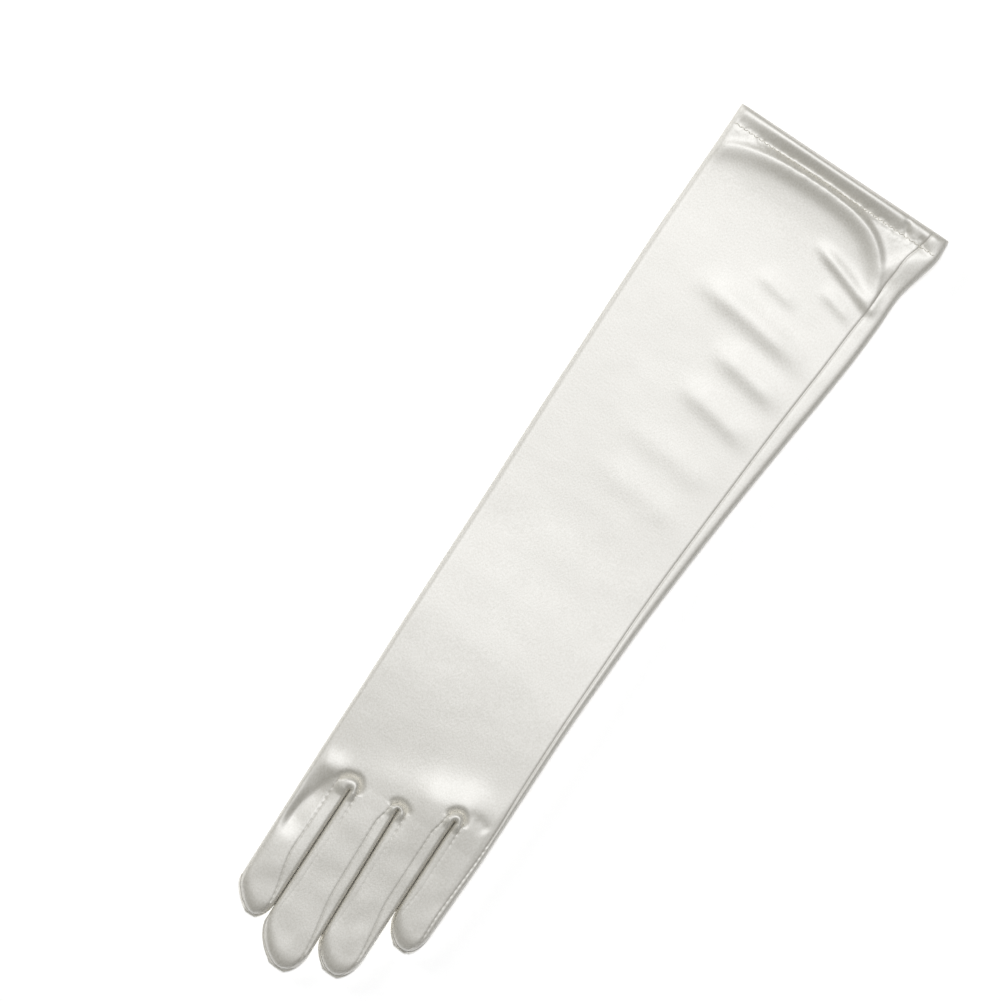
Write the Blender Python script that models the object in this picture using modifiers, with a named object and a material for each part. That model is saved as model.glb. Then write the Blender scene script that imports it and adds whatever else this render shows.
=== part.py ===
"""Bridal glove: a left elbow-length dress glove of stretch satin, lying back up on a flat surface.

Metres, +Z up. The glove's length runs along Y, with the cuff at +Y and the fingertips at -Y. The index side is
at -X. The origin is the middle of the glove's length and of the cuff's width, on the surface it lies on.

The pieces are the trank (the satin that makes the arm, the hand and the faces of the fingers), three fourchettes
(the strips between the fingers), the thumb (folded flat under the palm) and the turned hem of the cuff. The trank is
in two halves, back and palm, which meet all round at the glove's outline. Each piece is an open sheet drawn along the
middle of the cloth, which a Solidify modifier gives the cloth's thickness.
"""

import math
from collections import namedtuple

import bmesh
import bpy
from mathutils import Vector

# Cloth
CLOTH = 0.001
SEAM_GAP = 0.0004

# Arm and hand, laid flat
ARM_LENGTH = 0.301  # knuckle line to cuff edge
CUFF_WIDTH = 0.098
CUFF_SLANT = 0.002  # how much further the cuff reaches on the little-finger side
CUFF_FLARE = 0.045  # length over which the arm opens towards the cuff
HAND_WIDTH = 0.0773  # across the knuckle line
HAND_FADE = 0.25  # share of ARM_LENGTH over which the hand's own width passes into the arm's
ARM_LOFT = 0.0082
ARM_SHOULDER = 0.0085  # width over which the back rises from a folded edge to full height
SHOULDER_FULLNESS = 2.3  # over 2, the edge is squarer and the back flatter
EDGE_WIDEST = 0.0027  # height above the palm's cloth where a folded edge is widest
CUFF_WIDEST = 0.0040
EDGE_REACH = 0.0028  # how far in from the outline the folded edge's own strip of mesh goes

# Fingers. Lengths are from the knuckle line.
INDEX_LENGTH = 0.0679
MIDDLE_LENGTH = 0.0790
RING_LENGTH = 0.0692
LITTLE_LENGTH = 0.0460
FINGER_LOFT = 0.0084
FINGER_GAP = 0.0008
FINGER_SHOULDER = 0.0044
SIDE_LOW = 0.0020  # height of the widest point of a finger's side
TIP_ROUND = 0.0130  # length of a fingertip's rounded end
TIP_SLOPE = 0.008  # length over which a fingertip rises to full height
TIP_FOLD = 0.0032  # outside height of the very tip
TIP_TAPER_FROM = 0.6  # share of the finger where its folded edge starts to thin towards the tip

# Fourchettes
STRIP_SHOWN = 0.0050  # width seen from above on the index side of a gap
STRIP_TUCKED = 0.0034  # the same on the little-finger side
STRIP_UNDER = 0.0032  # reach under the finger
STRIP_END = 0.0018  # width near the fingertip
STRIP_TAPER_FROM = 0.50  # share of the finger where it starts to narrow
CROTCH_EASE = 0.009  # length beside the crotch over which it takes its width

# Thumb
THUMB_LENGTH = 0.066
THUMB_LEAN = 37.0  # degrees from straight across the palm towards the fingers
THUMB_BASE = 0.053
THUMB_TIP = 0.0145
THUMB_TAPER = 0.62  # under 1, it narrows sooner near the base
THUMB_END_ROUND = 0.6  # length of its rounded end, as a share of THUMB_TIP
THUMB_END_WIDTH = 0.45  # width left at the very end, as a share of THUMB_TIP
THUMB_LOFT = 0.0025
THUMB_FOLD = 0.0023  # outside height of its folded edges
THUMB_SHOULDER = 0.0030
THUMB_FROM_EDGE = 0.0130  # index edge of the hand to the thumb's base
THUMB_FROM_KNUCKLES = 0.0640  # knuckle line to the middle of the thumb's base
HOLE_LENGTH = 0.038
HOLE_WIDTH = 0.0125
HOLE_INSET = 0.0125  # thumb's base to the middle of the thumb hole
PALM_MARGIN = 0.004  # how far the palm stays raised past the thumb's edge
PALM_SLOPE = 0.007  # length over which it then comes down

# Parting of the trank into back and palm
PARTING_HEIGHT = 0.0015  # above the palm's cloth
PARTING_REACH = 0.055  # either side of the glove's axis

# Cuff hem
HEM_DEPTH = 0.0098

# The arm's sections, from the knuckle line (station 0) to the cuff (station 1). Edges are shares of CUFF_WIDTH from
# the glove's axis, loft is a share of ARM_LOFT, over_thumb is the share of THUMB_LOFT that lifts the back there, and
# shoulder is a share of ARM_SHOULDER.
Section = namedtuple("Section", "station index_edge little_edge loft over_thumb shoulder")
ARM_SECTIONS = (
    Section(0.000, -0.400, 0.389, 1.03, 0.10, 0.62),
    Section(0.113, -0.413, 0.378, 1.02, 0.72, 0.70),
    Section(0.210, -0.427, 0.370, 1.00, 0.90, 0.80),
    Section(0.300, -0.437, 0.371, 1.00, 0.55, 0.90),
    Section(0.390, -0.447, 0.376, 1.00, 0.12, 1.00),
    Section(0.534, -0.466, 0.397, 1.00, 0.00, 1.00),
    Section(0.663, -0.480, 0.425, 1.00, 0.00, 1.00),
    Section(0.793, -0.492, 0.455, 1.00, 0.00, 1.00),
    Section(0.858, -0.494, 0.461, 1.00, 0.00, 1.00),
    Section(0.906, -0.495, 0.460, 1.06, 0.00, 1.00),
    Section(0.939, -0.496, 0.480, 1.16, 0.00, 1.00),
    Section(0.971, -0.498, 0.500, 1.26, 0.00, 1.00),
    Section(1.000, -0.500, 0.494, 1.30, 0.00, 1.00),
)

# The gaps between fingers. base and tip are shares of HAND_WIDTH from its index edge, at the knuckle line and at the
# middle fingertip. crotch is how far the gap starts above the knuckle line, as a share of HAND_WIDTH. shown is the
# fourchette's width beside the gap and the last three its reach round the start of the gap, towards the index finger,
# the cuff and the little finger, all as shares of STRIP_SHOWN.
Gap = namedtuple("Gap", "name base tip crotch shown to_index to_cuff to_little")
GAPS = (
    Gap("index_middle", 0.236, 0.268, -0.069, 1.18, 1.16, 1.12, 0.64),
    Gap("middle_ring", 0.496, 0.562, -0.013, 0.96, 0.60, 0.56, 0.68),
    Gap("ring_little", 0.768, 0.802, 0.102, 0.98, 0.72, 0.90, 0.64),
)
OUTER_INDEX = (0.000, 0.048)
OUTER_LITTLE = (1.000, 1.002)

# The fingers. apex is where across the width the tip is longest, and each side of the tip is a rounded corner, with
# its length as a share of TIP_ROUND and its fullness.
Finger = namedtuple("Finger", "name length apex index_round index_full little_round little_full")
FINGERS = (
    Finger("index", INDEX_LENGTH, 0.64, 0.78, 1.45, 0.69, 1.90),
    Finger("middle", MIDDLE_LENGTH, 0.62, 1.04, 1.60, 1.00, 2.10),
    Finger("ring", RING_LENGTH, 0.55, 0.78, 1.65, 1.04, 2.20),
    Finger("little", LITTLE_LENGTH, 0.60, 0.88, 1.80, 0.88, 2.20),
)
MIDDLE = 1

# Mesh fineness
HAND_ROWS = 14
HAND_ROWS_REACH = 0.34  # share of ARM_LENGTH that they cover
ARM_ROWS = 11
CUFF_EASE = 1.25  # over 1, the arm's rows draw closer at the cuff
FINGER_ROWS = 11
FINGER_EASE = 0.55  # 0 spaces a finger's rows evenly, 1 draws them close at the crotch and the tip
FINGER_COLUMNS = 4
CROTCH_COLUMNS = 4
SIDE_COLUMNS = 5
SIDE_SHARES = (1.0, 0.5, 0.16, 0.0, 0.4, 1.0)  # shares of a side's reach at each column, from the back to the palm side
SIDE_LIFT = 0.2  # height of the column next to the palm side, as a share of the widest column's
WIDEST_COLUMN = 3
STRIP_LAST_ROW = 9  # the finger row where a fourchette ends
THUMB_ROWS = 9
THUMB_COLUMNS = 8
HEM_ROWS = 2
HEM_COLUMNS = 24
HOLE_SIDES = 40
PARTING_ROWS = 95
PARTING_COLUMNS = 26
MERGE = 1e-6  # points closer than this are one

SATIN = (0.87, 0.86, 0.84, 1.0)

# Places that follow from the sizes above
HALF = CLOTH / 2
CUFF_Y = (ARM_LENGTH + FINGERS[MIDDLE].length) / 2
KNUCKLE_Y = CUFF_Y - ARM_LENGTH
LOWEST_TIP = -CUFF_Y


def mix(a, b, share):
    return a + (b - a) * share


def clamp(value):
    return max(0.0, min(1.0, value))


def smooth(share):
    """An S-shaped step from 0 to 1."""
    share = clamp(share)
    return share * share * (3 - 2 * share)


def rounded(share):
    """A quarter of a circle from 0, rising steeply, to 1, level."""
    share = clamp(share)
    return math.sqrt(1 - (1 - share) ** 2)


def corner(share, fullness):
    """Like rounded, with the fullness of a superellipse."""
    return (1 - (1 - clamp(share)) ** fullness) ** (1 / fullness)


def along_sections(station, field):
    """A column of ARM_SECTIONS at a station, as a smooth curve through its rows."""
    rows = ARM_SECTIONS
    station = clamp(station)
    k = max(i for i in range(len(rows) - 1) if rows[i].station <= station)
    before, low, high, after = (rows[max(k - 1, 0)], rows[k], rows[k + 1], rows[min(k + 2, len(rows) - 1)])
    span = high.station - low.station
    share = (station - low.station) / span
    a, b = getattr(low, field), getattr(high, field)
    slope_a = (b - getattr(before, field)) / max(high.station - before.station, span) * span
    slope_b = (getattr(after, field) - a) / max(after.station - low.station, span) * span
    cube, square = share**3, share**2
    return (
        a * (2 * cube - 3 * square + 1)
        + slope_a * (cube - 2 * square + share)
        + b * (3 * square - 2 * cube)
        + slope_b * (cube - square)
    )


def station_of(y):
    return (y - KNUCKLE_Y) / ARM_LENGTH


def hand_x(share):
    """An X from a share of the hand's width at the knuckle line."""
    return ARM_SECTIONS[0].index_edge * CUFF_WIDTH + HALF + share * (HAND_WIDTH - CLOTH)


def tip_share(y):
    return clamp((KNUCKLE_Y - y) / (KNUCKLE_Y - LOWEST_TIP))


def line_x(ends, y):
    """A line down the fingers, from its share at the knuckle line to its share at the fingertips."""
    return hand_x(mix(ends[0], ends[1], tip_share(y)))


def little_line(y):
    """The little-finger edge of the hand, which meets the arm's edge at the knuckle line."""
    return line_x(OUTER_LITTLE, y)


def outer_edge(side, y):
    """The glove's outline along the middle of the cloth. side is -1 for the index edge and +1 for the other."""
    station = station_of(y)
    if side < 0:
        if station < 0:
            return line_x(OUTER_INDEX, y)
        return along_sections(station, "index_edge") * CUFF_WIDTH + HALF
    if station < 0:
        return little_line(y)
    # The hand's width is set by itself, so the difference to the arm's own edge fades out towards the wrist.
    arm = along_sections(station, "little_edge") * CUFF_WIDTH - HALF
    at_knuckles = ARM_SECTIONS[0].little_edge * CUFF_WIDTH - HALF
    return arm + (little_line(KNUCKLE_Y) - at_knuckles) * (1 - smooth(station / HAND_FADE))


def edge_widest(y):
    """Height above the palm's cloth where a folded edge is widest."""
    opening = smooth((y - (CUFF_Y - CUFF_FLARE)) / CUFF_FLARE)
    return mix(EDGE_WIDEST, CUFF_WIDEST, opening)


def gap_x(gap, y):
    return line_x((gap.base, gap.tip), y)


def crotch_point(gap):
    y = KNUCKLE_Y + gap.crotch * HAND_WIDTH
    return Vector((gap_x(gap, y), y))


def finger_lines(k, y):
    """The X of a finger's two sides before its tip is rounded."""
    half_gap = FINGER_GAP / 2 + HALF
    left = outer_edge(-1, y) if k == 0 else gap_x(GAPS[k - 1], y) + half_gap
    right = outer_edge(1, y) if k == len(GAPS) else gap_x(GAPS[k], y) - half_gap
    return left, right


def tip_y(k):
    return KNUCKLE_Y - FINGERS[k].length + HALF


def apex_x(k):
    left, right = finger_lines(k, tip_y(k))
    return mix(left, right, FINGERS[k].apex)


def finger_edges(k, y):
    """The X of a finger's two sides, with its tip rounded."""
    finger, apex = FINGERS[k], apex_x(k)
    left, right = finger_lines(k, y)
    depth = y - tip_y(k)
    left = mix(apex, left, corner(depth / (finger.index_round * TIP_ROUND), finger.index_full))
    right = mix(apex, right, corner(depth / (finger.little_round * TIP_ROUND), finger.little_full))
    return left, right


def tip_depth(k, x, y):
    """How far along the finger a point lies from the rounded end."""
    finger, apex = FINGERS[k], apex_x(k)
    left, right = finger_lines(k, tip_y(k))
    if x < apex:
        across, length, fullness = (apex - x) / (apex - left), finger.index_round, finger.index_full
    else:
        across, length, fullness = (x - apex) / (right - apex), finger.little_round, finger.little_full
    end = length * TIP_ROUND * (1 - (1 - clamp(across) ** fullness) ** (1 / fullness))
    return y - tip_y(k) - end


def thumb_base():
    y = KNUCKLE_Y + THUMB_FROM_KNUCKLES
    return Vector((outer_edge(-1, y) + THUMB_FROM_EDGE, y))


def thumb_sides(share):
    """The two sides of the thumb at a share of its length: the one nearer the fingers, then the one nearer the cuff."""
    lean = math.radians(THUMB_LEAN)
    axis = Vector((math.cos(lean), -math.sin(lean)))
    across = Vector((math.sin(lean) * smooth(share), mix(1.0, math.cos(lean), smooth(share)))).normalized()
    middle = thumb_base() + axis * share * (THUMB_LENGTH - CLOTH)
    half = mix(THUMB_BASE, THUMB_TIP, share**THUMB_TAPER) / 2 - HALF
    end = (1 - share) * THUMB_LENGTH / (THUMB_TIP * THUMB_END_ROUND)
    half *= mix(THUMB_END_WIDTH, 1.0, rounded(end))
    return middle - across * half, middle + across * half


def thumb_outline():
    sides = [thumb_sides(i / (2 * THUMB_ROWS)) for i in range(2 * THUMB_ROWS + 1)]
    return [near for near, _ in sides] + [far for _, far in reversed(sides)]


THUMB_OUTLINE = thumb_outline()


def inside_depth(outline, x, y):
    """Distance from a point to the outline, positive inside it."""
    point = Vector((x, y))
    nearest, inside = math.inf, False
    for a, b in zip(outline, outline[1:] + outline[:1]):
        run = b - a
        share = clamp((point - a).dot(run) / max(run.length_squared, 1e-12))
        nearest = min(nearest, (a + run * share - point).length)
        if (a.y > y) != (b.y > y) and x < a.x + (y - a.y) / (b.y - a.y) * run.x:
            inside = not inside
    return nearest if inside else -nearest


def under_z(x, y):
    """Height of the palm side of the glove, which lies on the surface and passes over the thumb."""
    over_thumb = THUMB_LOFT + SEAM_GAP
    outside = max(0.0, -inside_depth(THUMB_OUTLINE, x, y) - PALM_MARGIN)
    return HALF + over_thumb * smooth(1 - outside / PALM_SLOPE)


def finger_share(y):
    """0 on the hand and 1 on the fingers, with a smooth change across the knuckles."""
    start = crotch_point(GAPS[-1]).y
    return smooth((start - y) / (start - tip_y(-1)))


def loft_z(y):
    """Height of the middle of the back of the glove."""
    station = station_of(y)
    arm = along_sections(station, "loft") * ARM_LOFT + along_sections(station, "over_thumb") * THUMB_LOFT
    return mix(arm, FINGER_LOFT, finger_share(y)) - HALF


def back_z(x, y):
    """Height of the back of the glove, without the gaps and fingertips."""
    left, right = outer_edge(-1, y), outer_edge(1, y)
    from_edge = min(x - left, right - x)
    on_arm = along_sections(station_of(y), "shoulder") * ARM_SHOULDER
    shoulder = mix(on_arm, FINGER_SHOULDER, finger_share(y))
    edge = mix(under_z(left, y), under_z(right, y), clamp((x - left) / (right - left))) + edge_widest(y)
    return mix(edge, loft_z(y), corner(from_edge / shoulder, SHOULDER_FULLNESS))


def beside_gap_z(x, y, from_gap, from_tip=math.inf):
    """Height of the back, with a finger's side and tip rounded off. The last two are distances from them."""
    low = under_z(x, y)
    full = back_z(x, y)
    fold = TIP_FOLD - CLOTH
    if from_tip < TIP_SLOPE + fold:
        full = mix(low + fold, full, rounded((from_tip - fold / 2) / TIP_SLOPE))
    side = low + SIDE_LOW - HALF
    return mix(side, max(full, side), corner(from_gap / FINGER_SHOULDER, SHOULDER_FULLNESS))


def row_share(row):
    """How far down a finger a row lies."""
    even = row / FINGER_ROWS
    return mix(even, (1 - math.cos(math.pi * even)) / 2, FINGER_EASE)


def strip_reach(gap, side, y, share):
    """Width of a fourchette seen from above, beside a finger. side is -1 on the gap's index side."""
    start = (gap.to_index if side < 0 else gap.to_little) * STRIP_SHOWN
    wide = gap.shown * STRIP_SHOWN if side < 0 else STRIP_TUCKED
    reach = mix(start, wide, smooth((crotch_point(gap).y - y) / CROTCH_EASE))
    taper = (share - STRIP_TAPER_FROM) / (row_share(STRIP_LAST_ROW) - STRIP_TAPER_FROM)
    return mix(reach, min(reach, STRIP_END), smooth(taper))


def side_inset(step, reach, under, trim=0.0):
    """How far in from the outline a column round a side lies. trim moves the first and last away from a seam."""
    inset = SIDE_SHARES[step] * (reach if step <= WIDEST_COLUMN else under)
    return inset + (trim if step in (0, SIDE_COLUMNS) else 0.0)


def side_z(step, x, y, widest, from_gap, from_tip=math.inf):
    """Height of a column round a side: the back, down to the widest point, then the palm side."""
    if step <= WIDEST_COLUMN:
        return beside_gap_z(x, y, from_gap, from_tip)
    return under_z(x, y) + (0.0 if step == SIDE_COLUMNS else widest * SIDE_LIFT)


def edge_point(side, y, step):
    """A point round a folded edge of the arm or hand, from the back (step 0) to the palm side."""
    x = outer_edge(side, y) - side * side_inset(step, EDGE_REACH, EDGE_REACH)
    return Vector((x, y, side_z(step, x, y, edge_widest(y), math.inf)))


def finger_row_y(k, row, base_y):
    last = tip_y(k) + (TIP_FOLD - CLOTH) / 2
    return mix(base_y, last, row_share(row))


def side_point(k, side, row, step, trim=0.0):
    """A point on the side of a finger, from the back (step 0) round to the palm side.

    side is -1 on the index side. trim moves the first and last steps apart from a seam."""
    tip_reach = (TIP_FOLD - CLOTH) / 2
    outer = (side < 0 and k == 0) or (side > 0 and k == len(GAPS))
    gap = GAPS[min(max(k - 1 if side < 0 else k, 0), len(GAPS) - 1)]
    y = finger_row_y(k, row, crotch_point(gap).y)
    edge = finger_edges(k, y)[0 if side < 0 else 1]
    share = row_share(row)
    if outer:
        reach = mix(EDGE_REACH, tip_reach, smooth((share - TIP_TAPER_FROM) / (1 - TIP_TAPER_FROM)))
        x = edge - side * side_inset(step, reach, reach)
        return Vector((x, y, side_z(step, x, y, EDGE_WIDEST, math.inf, tip_depth(k, x, y))))
    reach = strip_reach(gap, -side, y, share)
    under = mix(STRIP_UNDER, tip_reach, smooth((share - TIP_TAPER_FROM) / (1 - TIP_TAPER_FROM)))
    if row > STRIP_LAST_ROW:
        to_end = (share - row_share(STRIP_LAST_ROW)) / (1 - row_share(STRIP_LAST_ROW))
        reach = mix(reach, tip_reach, to_end)
    inset = side_inset(step, reach, under, trim)
    x = edge - side * inset
    return Vector((x, y, side_z(step, x, y, SIDE_LOW - HALF, inset, tip_depth(k, x, y))))


def crotch_arc_point(gap, turn, step, trim=0.0):
    """A point of the fourchette round the start of the gap. turn is 0 at the index finger and 1 at the next one."""
    angle = math.pi * (1 - turn)
    towards = Vector((math.cos(angle), math.sin(angle)))
    sideways = gap.to_index if turn < 0.5 else gap.to_little
    reach = STRIP_SHOWN / math.hypot(towards.x / sideways, towards.y / gap.to_cuff)
    inset = side_inset(step, reach, STRIP_UNDER, trim)
    place = crotch_point(gap) + towards * (inset + FINGER_GAP / 2 + HALF)
    return Vector((place.x, place.y, side_z(step, place.x, place.y, SIDE_LOW - HALF, inset)))


def finger_face_row(k, row, on_back):
    """One row of points across the back or the palm side of a finger."""
    step = 0 if on_back else SIDE_COLUMNS
    trim = SEAM_GAP / 2
    first = side_point(k, -1, row, step, trim)
    last = side_point(k, 1, row, step, trim)
    points = [first]
    for column in range(1, FINGER_COLUMNS):
        share = column / FINGER_COLUMNS
        x, y = mix(first.x, last.x, share), mix(first.y, last.y, share)
        left, right = finger_edges(k, y)
        from_gap = min(math.inf if k == 0 else x - left, math.inf if k == len(GAPS) else right - x)
        z = beside_gap_z(x, y, from_gap, tip_depth(k, x, y)) if on_back else under_z(x, y)
        points.append(Vector((x, y, z)))
    return points + [last]


def knuckle_row(on_back):
    """The row of points across the hand where the fingers start, round the crotches."""
    step = 0 if on_back else SIDE_COLUMNS
    points = []
    for k in range(len(FINGERS)):
        points += finger_face_row(k, 0, on_back)
        if k < len(GAPS):
            points += [
                crotch_arc_point(GAPS[k], turn / CROTCH_COLUMNS, step, SEAM_GAP / 2)
                for turn in range(1, CROTCH_COLUMNS)
            ]
    return points


def arm_row_share(row):
    """How far up the arm a row lies. Rows are close over the hand."""
    if row <= HAND_ROWS:
        return HAND_ROWS_REACH * row / HAND_ROWS
    return mix(1.0, HAND_ROWS_REACH, (1 - (row - HAND_ROWS) / ARM_ROWS) ** CUFF_EASE)


def gap_distance(x, y):
    """Distance from a point of the hand to the nearest crotch."""
    point = Vector((x, y))
    return min((crotch_point(gap) - point).length for gap in GAPS) - FINGER_GAP / 2 - HALF


def arm_row(row, on_back, knuckles):
    """One row of points across the arm, from the index edge to the little-finger edge."""
    up = arm_row_share(row)
    points = []
    for i, start in enumerate(knuckles):
        even = i / (len(knuckles) - 1)
        y = mix(start.y, CUFF_Y - CUFF_SLANT * (1 - even), up)
        here = [outer_edge(-1, y) + EDGE_REACH, outer_edge(1, y) - EDGE_REACH]
        at_start = [outer_edge(-1, start.y) + EDGE_REACH, outer_edge(1, start.y) - EDGE_REACH]
        share = mix((start.x - at_start[0]) / (at_start[1] - at_start[0]), even, smooth(up))
        if i in (0, len(knuckles) - 1):
            share = even
        x = mix(here[0], here[1], share)
        z = beside_gap_z(x, y, gap_distance(x, y)) if on_back else under_z(x, y)
        points.append(Vector((x, y, z)))
    return points


def arm_faces():
    """The back and the palm side of the arm and hand, then their two folded edges, as grids of points."""
    back = [knuckle_row(True)]
    palm = [knuckle_row(False)]
    for row in range(1, HAND_ROWS + ARM_ROWS + 1):
        back.append(arm_row(row, True, back[0]))
        palm.append(arm_row(row, False, palm[0]))
    edges = []
    for side, column in ((-1, 0), (1, -1)):
        edge = []
        for upper, lower in zip(back, palm):
            y = upper[column].y
            edge.append([upper[column]] + [edge_point(side, y, step) for step in range(1, SIDE_COLUMNS)] + [lower[column]])
        edges.append(edge)
    return [back, palm] + edges


def finger_side(k, side, first_row):
    """The side of a finger as a grid, from first_row to the tip."""
    trim = SEAM_GAP / 2
    return [
        [side_point(k, side, row, step, trim if step in (0, SIDE_COLUMNS) else 0.0) for step in range(SIDE_COLUMNS + 1)]
        for row in range(first_row, FINGER_ROWS)
    ]


def finger_patches(k):
    """The faces, sides and closed tip of a finger, as grids of points."""
    back = [finger_face_row(k, row, True) for row in range(FINGER_ROWS + 1)]
    palm = [finger_face_row(k, row, False) for row in range(FINGER_ROWS + 1)]
    reach = (TIP_FOLD - CLOTH) / 2
    tip = []
    for column, (upper, lower) in enumerate(zip(back[-1], palm[-1])):
        lean = 2 * column / FINGER_COLUMNS - 1
        outward = Vector((lean, -1.0, 0.0)).normalized()
        arc = []
        for step in range(1, SIDE_COLUMNS):
            angle = math.radians(90 - 180 * step / SIDE_COLUMNS)
            point = upper.lerp(lower, (1 - math.sin(angle)) / 2)
            arc.append(point + outward * math.cos(angle) * reach)
        tip.append([upper] + arc + [lower])
    patches = [back, palm, tip]
    for side, column in ((-1, 0), (1, -1)):
        outer = (side < 0 and k == 0) or (side > 0 and k == len(GAPS))
        patches.append(finger_side(k, side, 0 if outer else STRIP_LAST_ROW) + [tip[column]])
    return patches


def fourchette_patch(g):
    """The strip from one fingertip, round the crotch, to the next fingertip."""
    trim = -SEAM_GAP / 2

    def across(point_at):
        return [point_at(step, trim if step in (0, SIDE_COLUMNS) else 0.0) for step in range(SIDE_COLUMNS + 1)]

    def leg(k, side):
        rows = [across(lambda step, t, row=row: side_point(k, side, row, step, t)) for row in range(STRIP_LAST_ROW + 1)]
        for point, before in zip(rows[-1], rows[-2]):
            point += (before - point).normalized() * SEAM_GAP
        return rows

    arc = [
        across(lambda step, t, turn=turn: crotch_arc_point(GAPS[g], turn / CROTCH_COLUMNS, step, t))
        for turn in range(1, CROTCH_COLUMNS)
    ]
    return leg(g, 1)[::-1] + arc + leg(g + 1, -1)


def thumb_patches():
    """The two faces, two folded sides and two closed ends of the thumb, as grids of points."""
    fold = THUMB_FOLD - CLOTH
    rows = []
    for row in range(THUMB_ROWS + 1):
        inset = fold / 2 / THUMB_LENGTH
        near, far = thumb_sides(mix(inset, 1 - inset, row / THUMB_ROWS))
        rows.append((near, far, (far - near).normalized()))

    def face_point(x, y, on_top):
        depth = inside_depth(THUMB_OUTLINE, x, y) - fold / 2
        top = mix(fold, THUMB_LOFT - CLOTH, rounded(depth / THUMB_SHOULDER))
        return Vector((x, y, HALF + (top if on_top else 0.0)))

    faces = {True: [], False: []}
    for near, far, across in rows:
        first, last = near + across * fold / 2, far - across * fold / 2
        shares = [(1 - math.cos(math.pi * i / THUMB_COLUMNS)) / 2 for i in range(THUMB_COLUMNS + 1)]
        for on_top in faces:
            faces[on_top].append([face_point(*first.lerp(last, share), on_top) for share in shares])

    def wrap(upper, lower, outward):
        arc = []
        for step in range(1, SIDE_COLUMNS):
            angle = math.radians(90 - 180 * step / SIDE_COLUMNS)
            point = upper.lerp(lower, (1 - math.sin(angle)) / 2)
            arc.append(point + outward.to_3d() * math.cos(angle) * fold / 2)
        return [upper] + arc + [lower]

    def end(row, forward):
        grid = []
        for column, (upper, lower) in enumerate(zip(faces[True][row], faces[False][row])):
            lean = 2 * column / THUMB_COLUMNS - 1
            outward = (rows[row][2] * lean * abs(lean) + forward).normalized()
            grid.append(wrap(upper, lower, outward))
        return grid

    lean = math.radians(THUMB_LEAN)
    base_end, tip_end = end(0, Vector((-1, 0))), end(-1, Vector((math.cos(lean), -math.sin(lean))))
    patches = [faces[True], faces[False], base_end, tip_end]
    for column in (0, -1):
        side = [base_end[column]]
        for row in range(1, THUMB_ROWS):
            outward = rows[row][2] * (-1 if column == 0 else 1)
            side.append(wrap(faces[True][row][column], faces[False][row][column], outward))
        patches.append(side + [tip_end[column]])
    return patches


def ring_at(y_up):
    """The points round the cuff at a distance down from its edge, with their outward directions."""
    ring = []
    for on_back in (True, False):
        for i in range(HEM_COLUMNS + 1):
            even = i / HEM_COLUMNS if on_back else 1 - i / HEM_COLUMNS
            y = CUFF_Y - CUFF_SLANT * (1 - even) - y_up
            x = mix(outer_edge(-1, y) + EDGE_REACH, outer_edge(1, y) - EDGE_REACH, even)
            ring.append(Vector((x, y, back_z(x, y) if on_back else under_z(x, y))))
        side = 1 if on_back else -1
        y = CUFF_Y - CUFF_SLANT * (0 if on_back else 1) - y_up
        steps = range(1, SIDE_COLUMNS) if on_back else range(SIDE_COLUMNS - 1, 0, -1)
        ring += [edge_point(side, y, step) for step in steps]
    return ring


def inset_ring(ring, distance):
    """A ring moved inwards by a distance, square to itself."""
    moved = []
    for i, point in enumerate(ring):
        run = ring[(i + 1) % len(ring)] - ring[i - 1]
        inward = Vector((run.z, 0.0, -run.x)).normalized()
        moved.append(point + inward * distance)
    return moved


def satin_material():
    material = bpy.data.materials.new("ivory satin")
    material.use_nodes = True
    shader = material.node_tree.nodes["Principled BSDF"]
    shader.inputs["Base Color"].default_value = SATIN
    shader.inputs["Roughness"].default_value = 0.42
    shader.inputs["Metallic"].default_value = 0.0
    return material


def sheet(name, patches, collection, material, closed_rings=False):
    """Joins grids of points into one open sheet of cloth and gives it its thickness."""
    mesh = bpy.data.meshes.new(name)
    build = bmesh.new()
    for patch in patches:
        grid = [[build.verts.new(point) for point in row] for row in patch]
        for low, high in zip(grid, grid[1:]):
            columns = list(zip(low, low[1:], high[1:], high))
            if closed_rings:
                columns.append((low[-1], low[0], high[0], high[-1]))
            for corners in columns:
                build.faces.new(corners)
    bmesh.ops.remove_doubles(build, verts=build.verts, dist=MERGE)
    bmesh.ops.recalc_face_normals(build, faces=build.faces)
    build.to_mesh(mesh)
    build.free()
    mesh.shade_smooth()
    mesh.materials.append(material)
    piece = bpy.data.objects.new(name, mesh)
    collection.objects.link(piece)
    wall = piece.modifiers.new("cloth", "SOLIDIFY")
    wall.thickness = CLOTH
    wall.offset = 0.0
    wall.use_even_offset = True
    return piece


def as_cutter(name, mesh, collection):
    cutter = bpy.data.objects.new(name, mesh)
    cutter.hide_render = True
    cutter.display_type = "WIRE"
    collection.objects.link(cutter)
    return cutter


def hole_cutter(name, low, high, collection):
    """An upright oval, wide and long as the thumb hole."""
    build = bmesh.new()
    bmesh.ops.create_cone(
        build, cap_ends=True, segments=HOLE_SIDES, radius1=HOLE_WIDTH / 2, radius2=HOLE_WIDTH / 2, depth=high - low
    )
    bmesh.ops.scale(build, vec=(1.0, HOLE_LENGTH / HOLE_WIDTH, 1.0), verts=build.verts)
    mesh = bpy.data.meshes.new(name)
    build.to_mesh(mesh)
    build.free()
    cutter = as_cutter(name, mesh, collection)
    base = thumb_base()
    cutter.location = (base.x + HOLE_INSET, base.y, (low + high) / 2)
    return cutter


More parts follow.
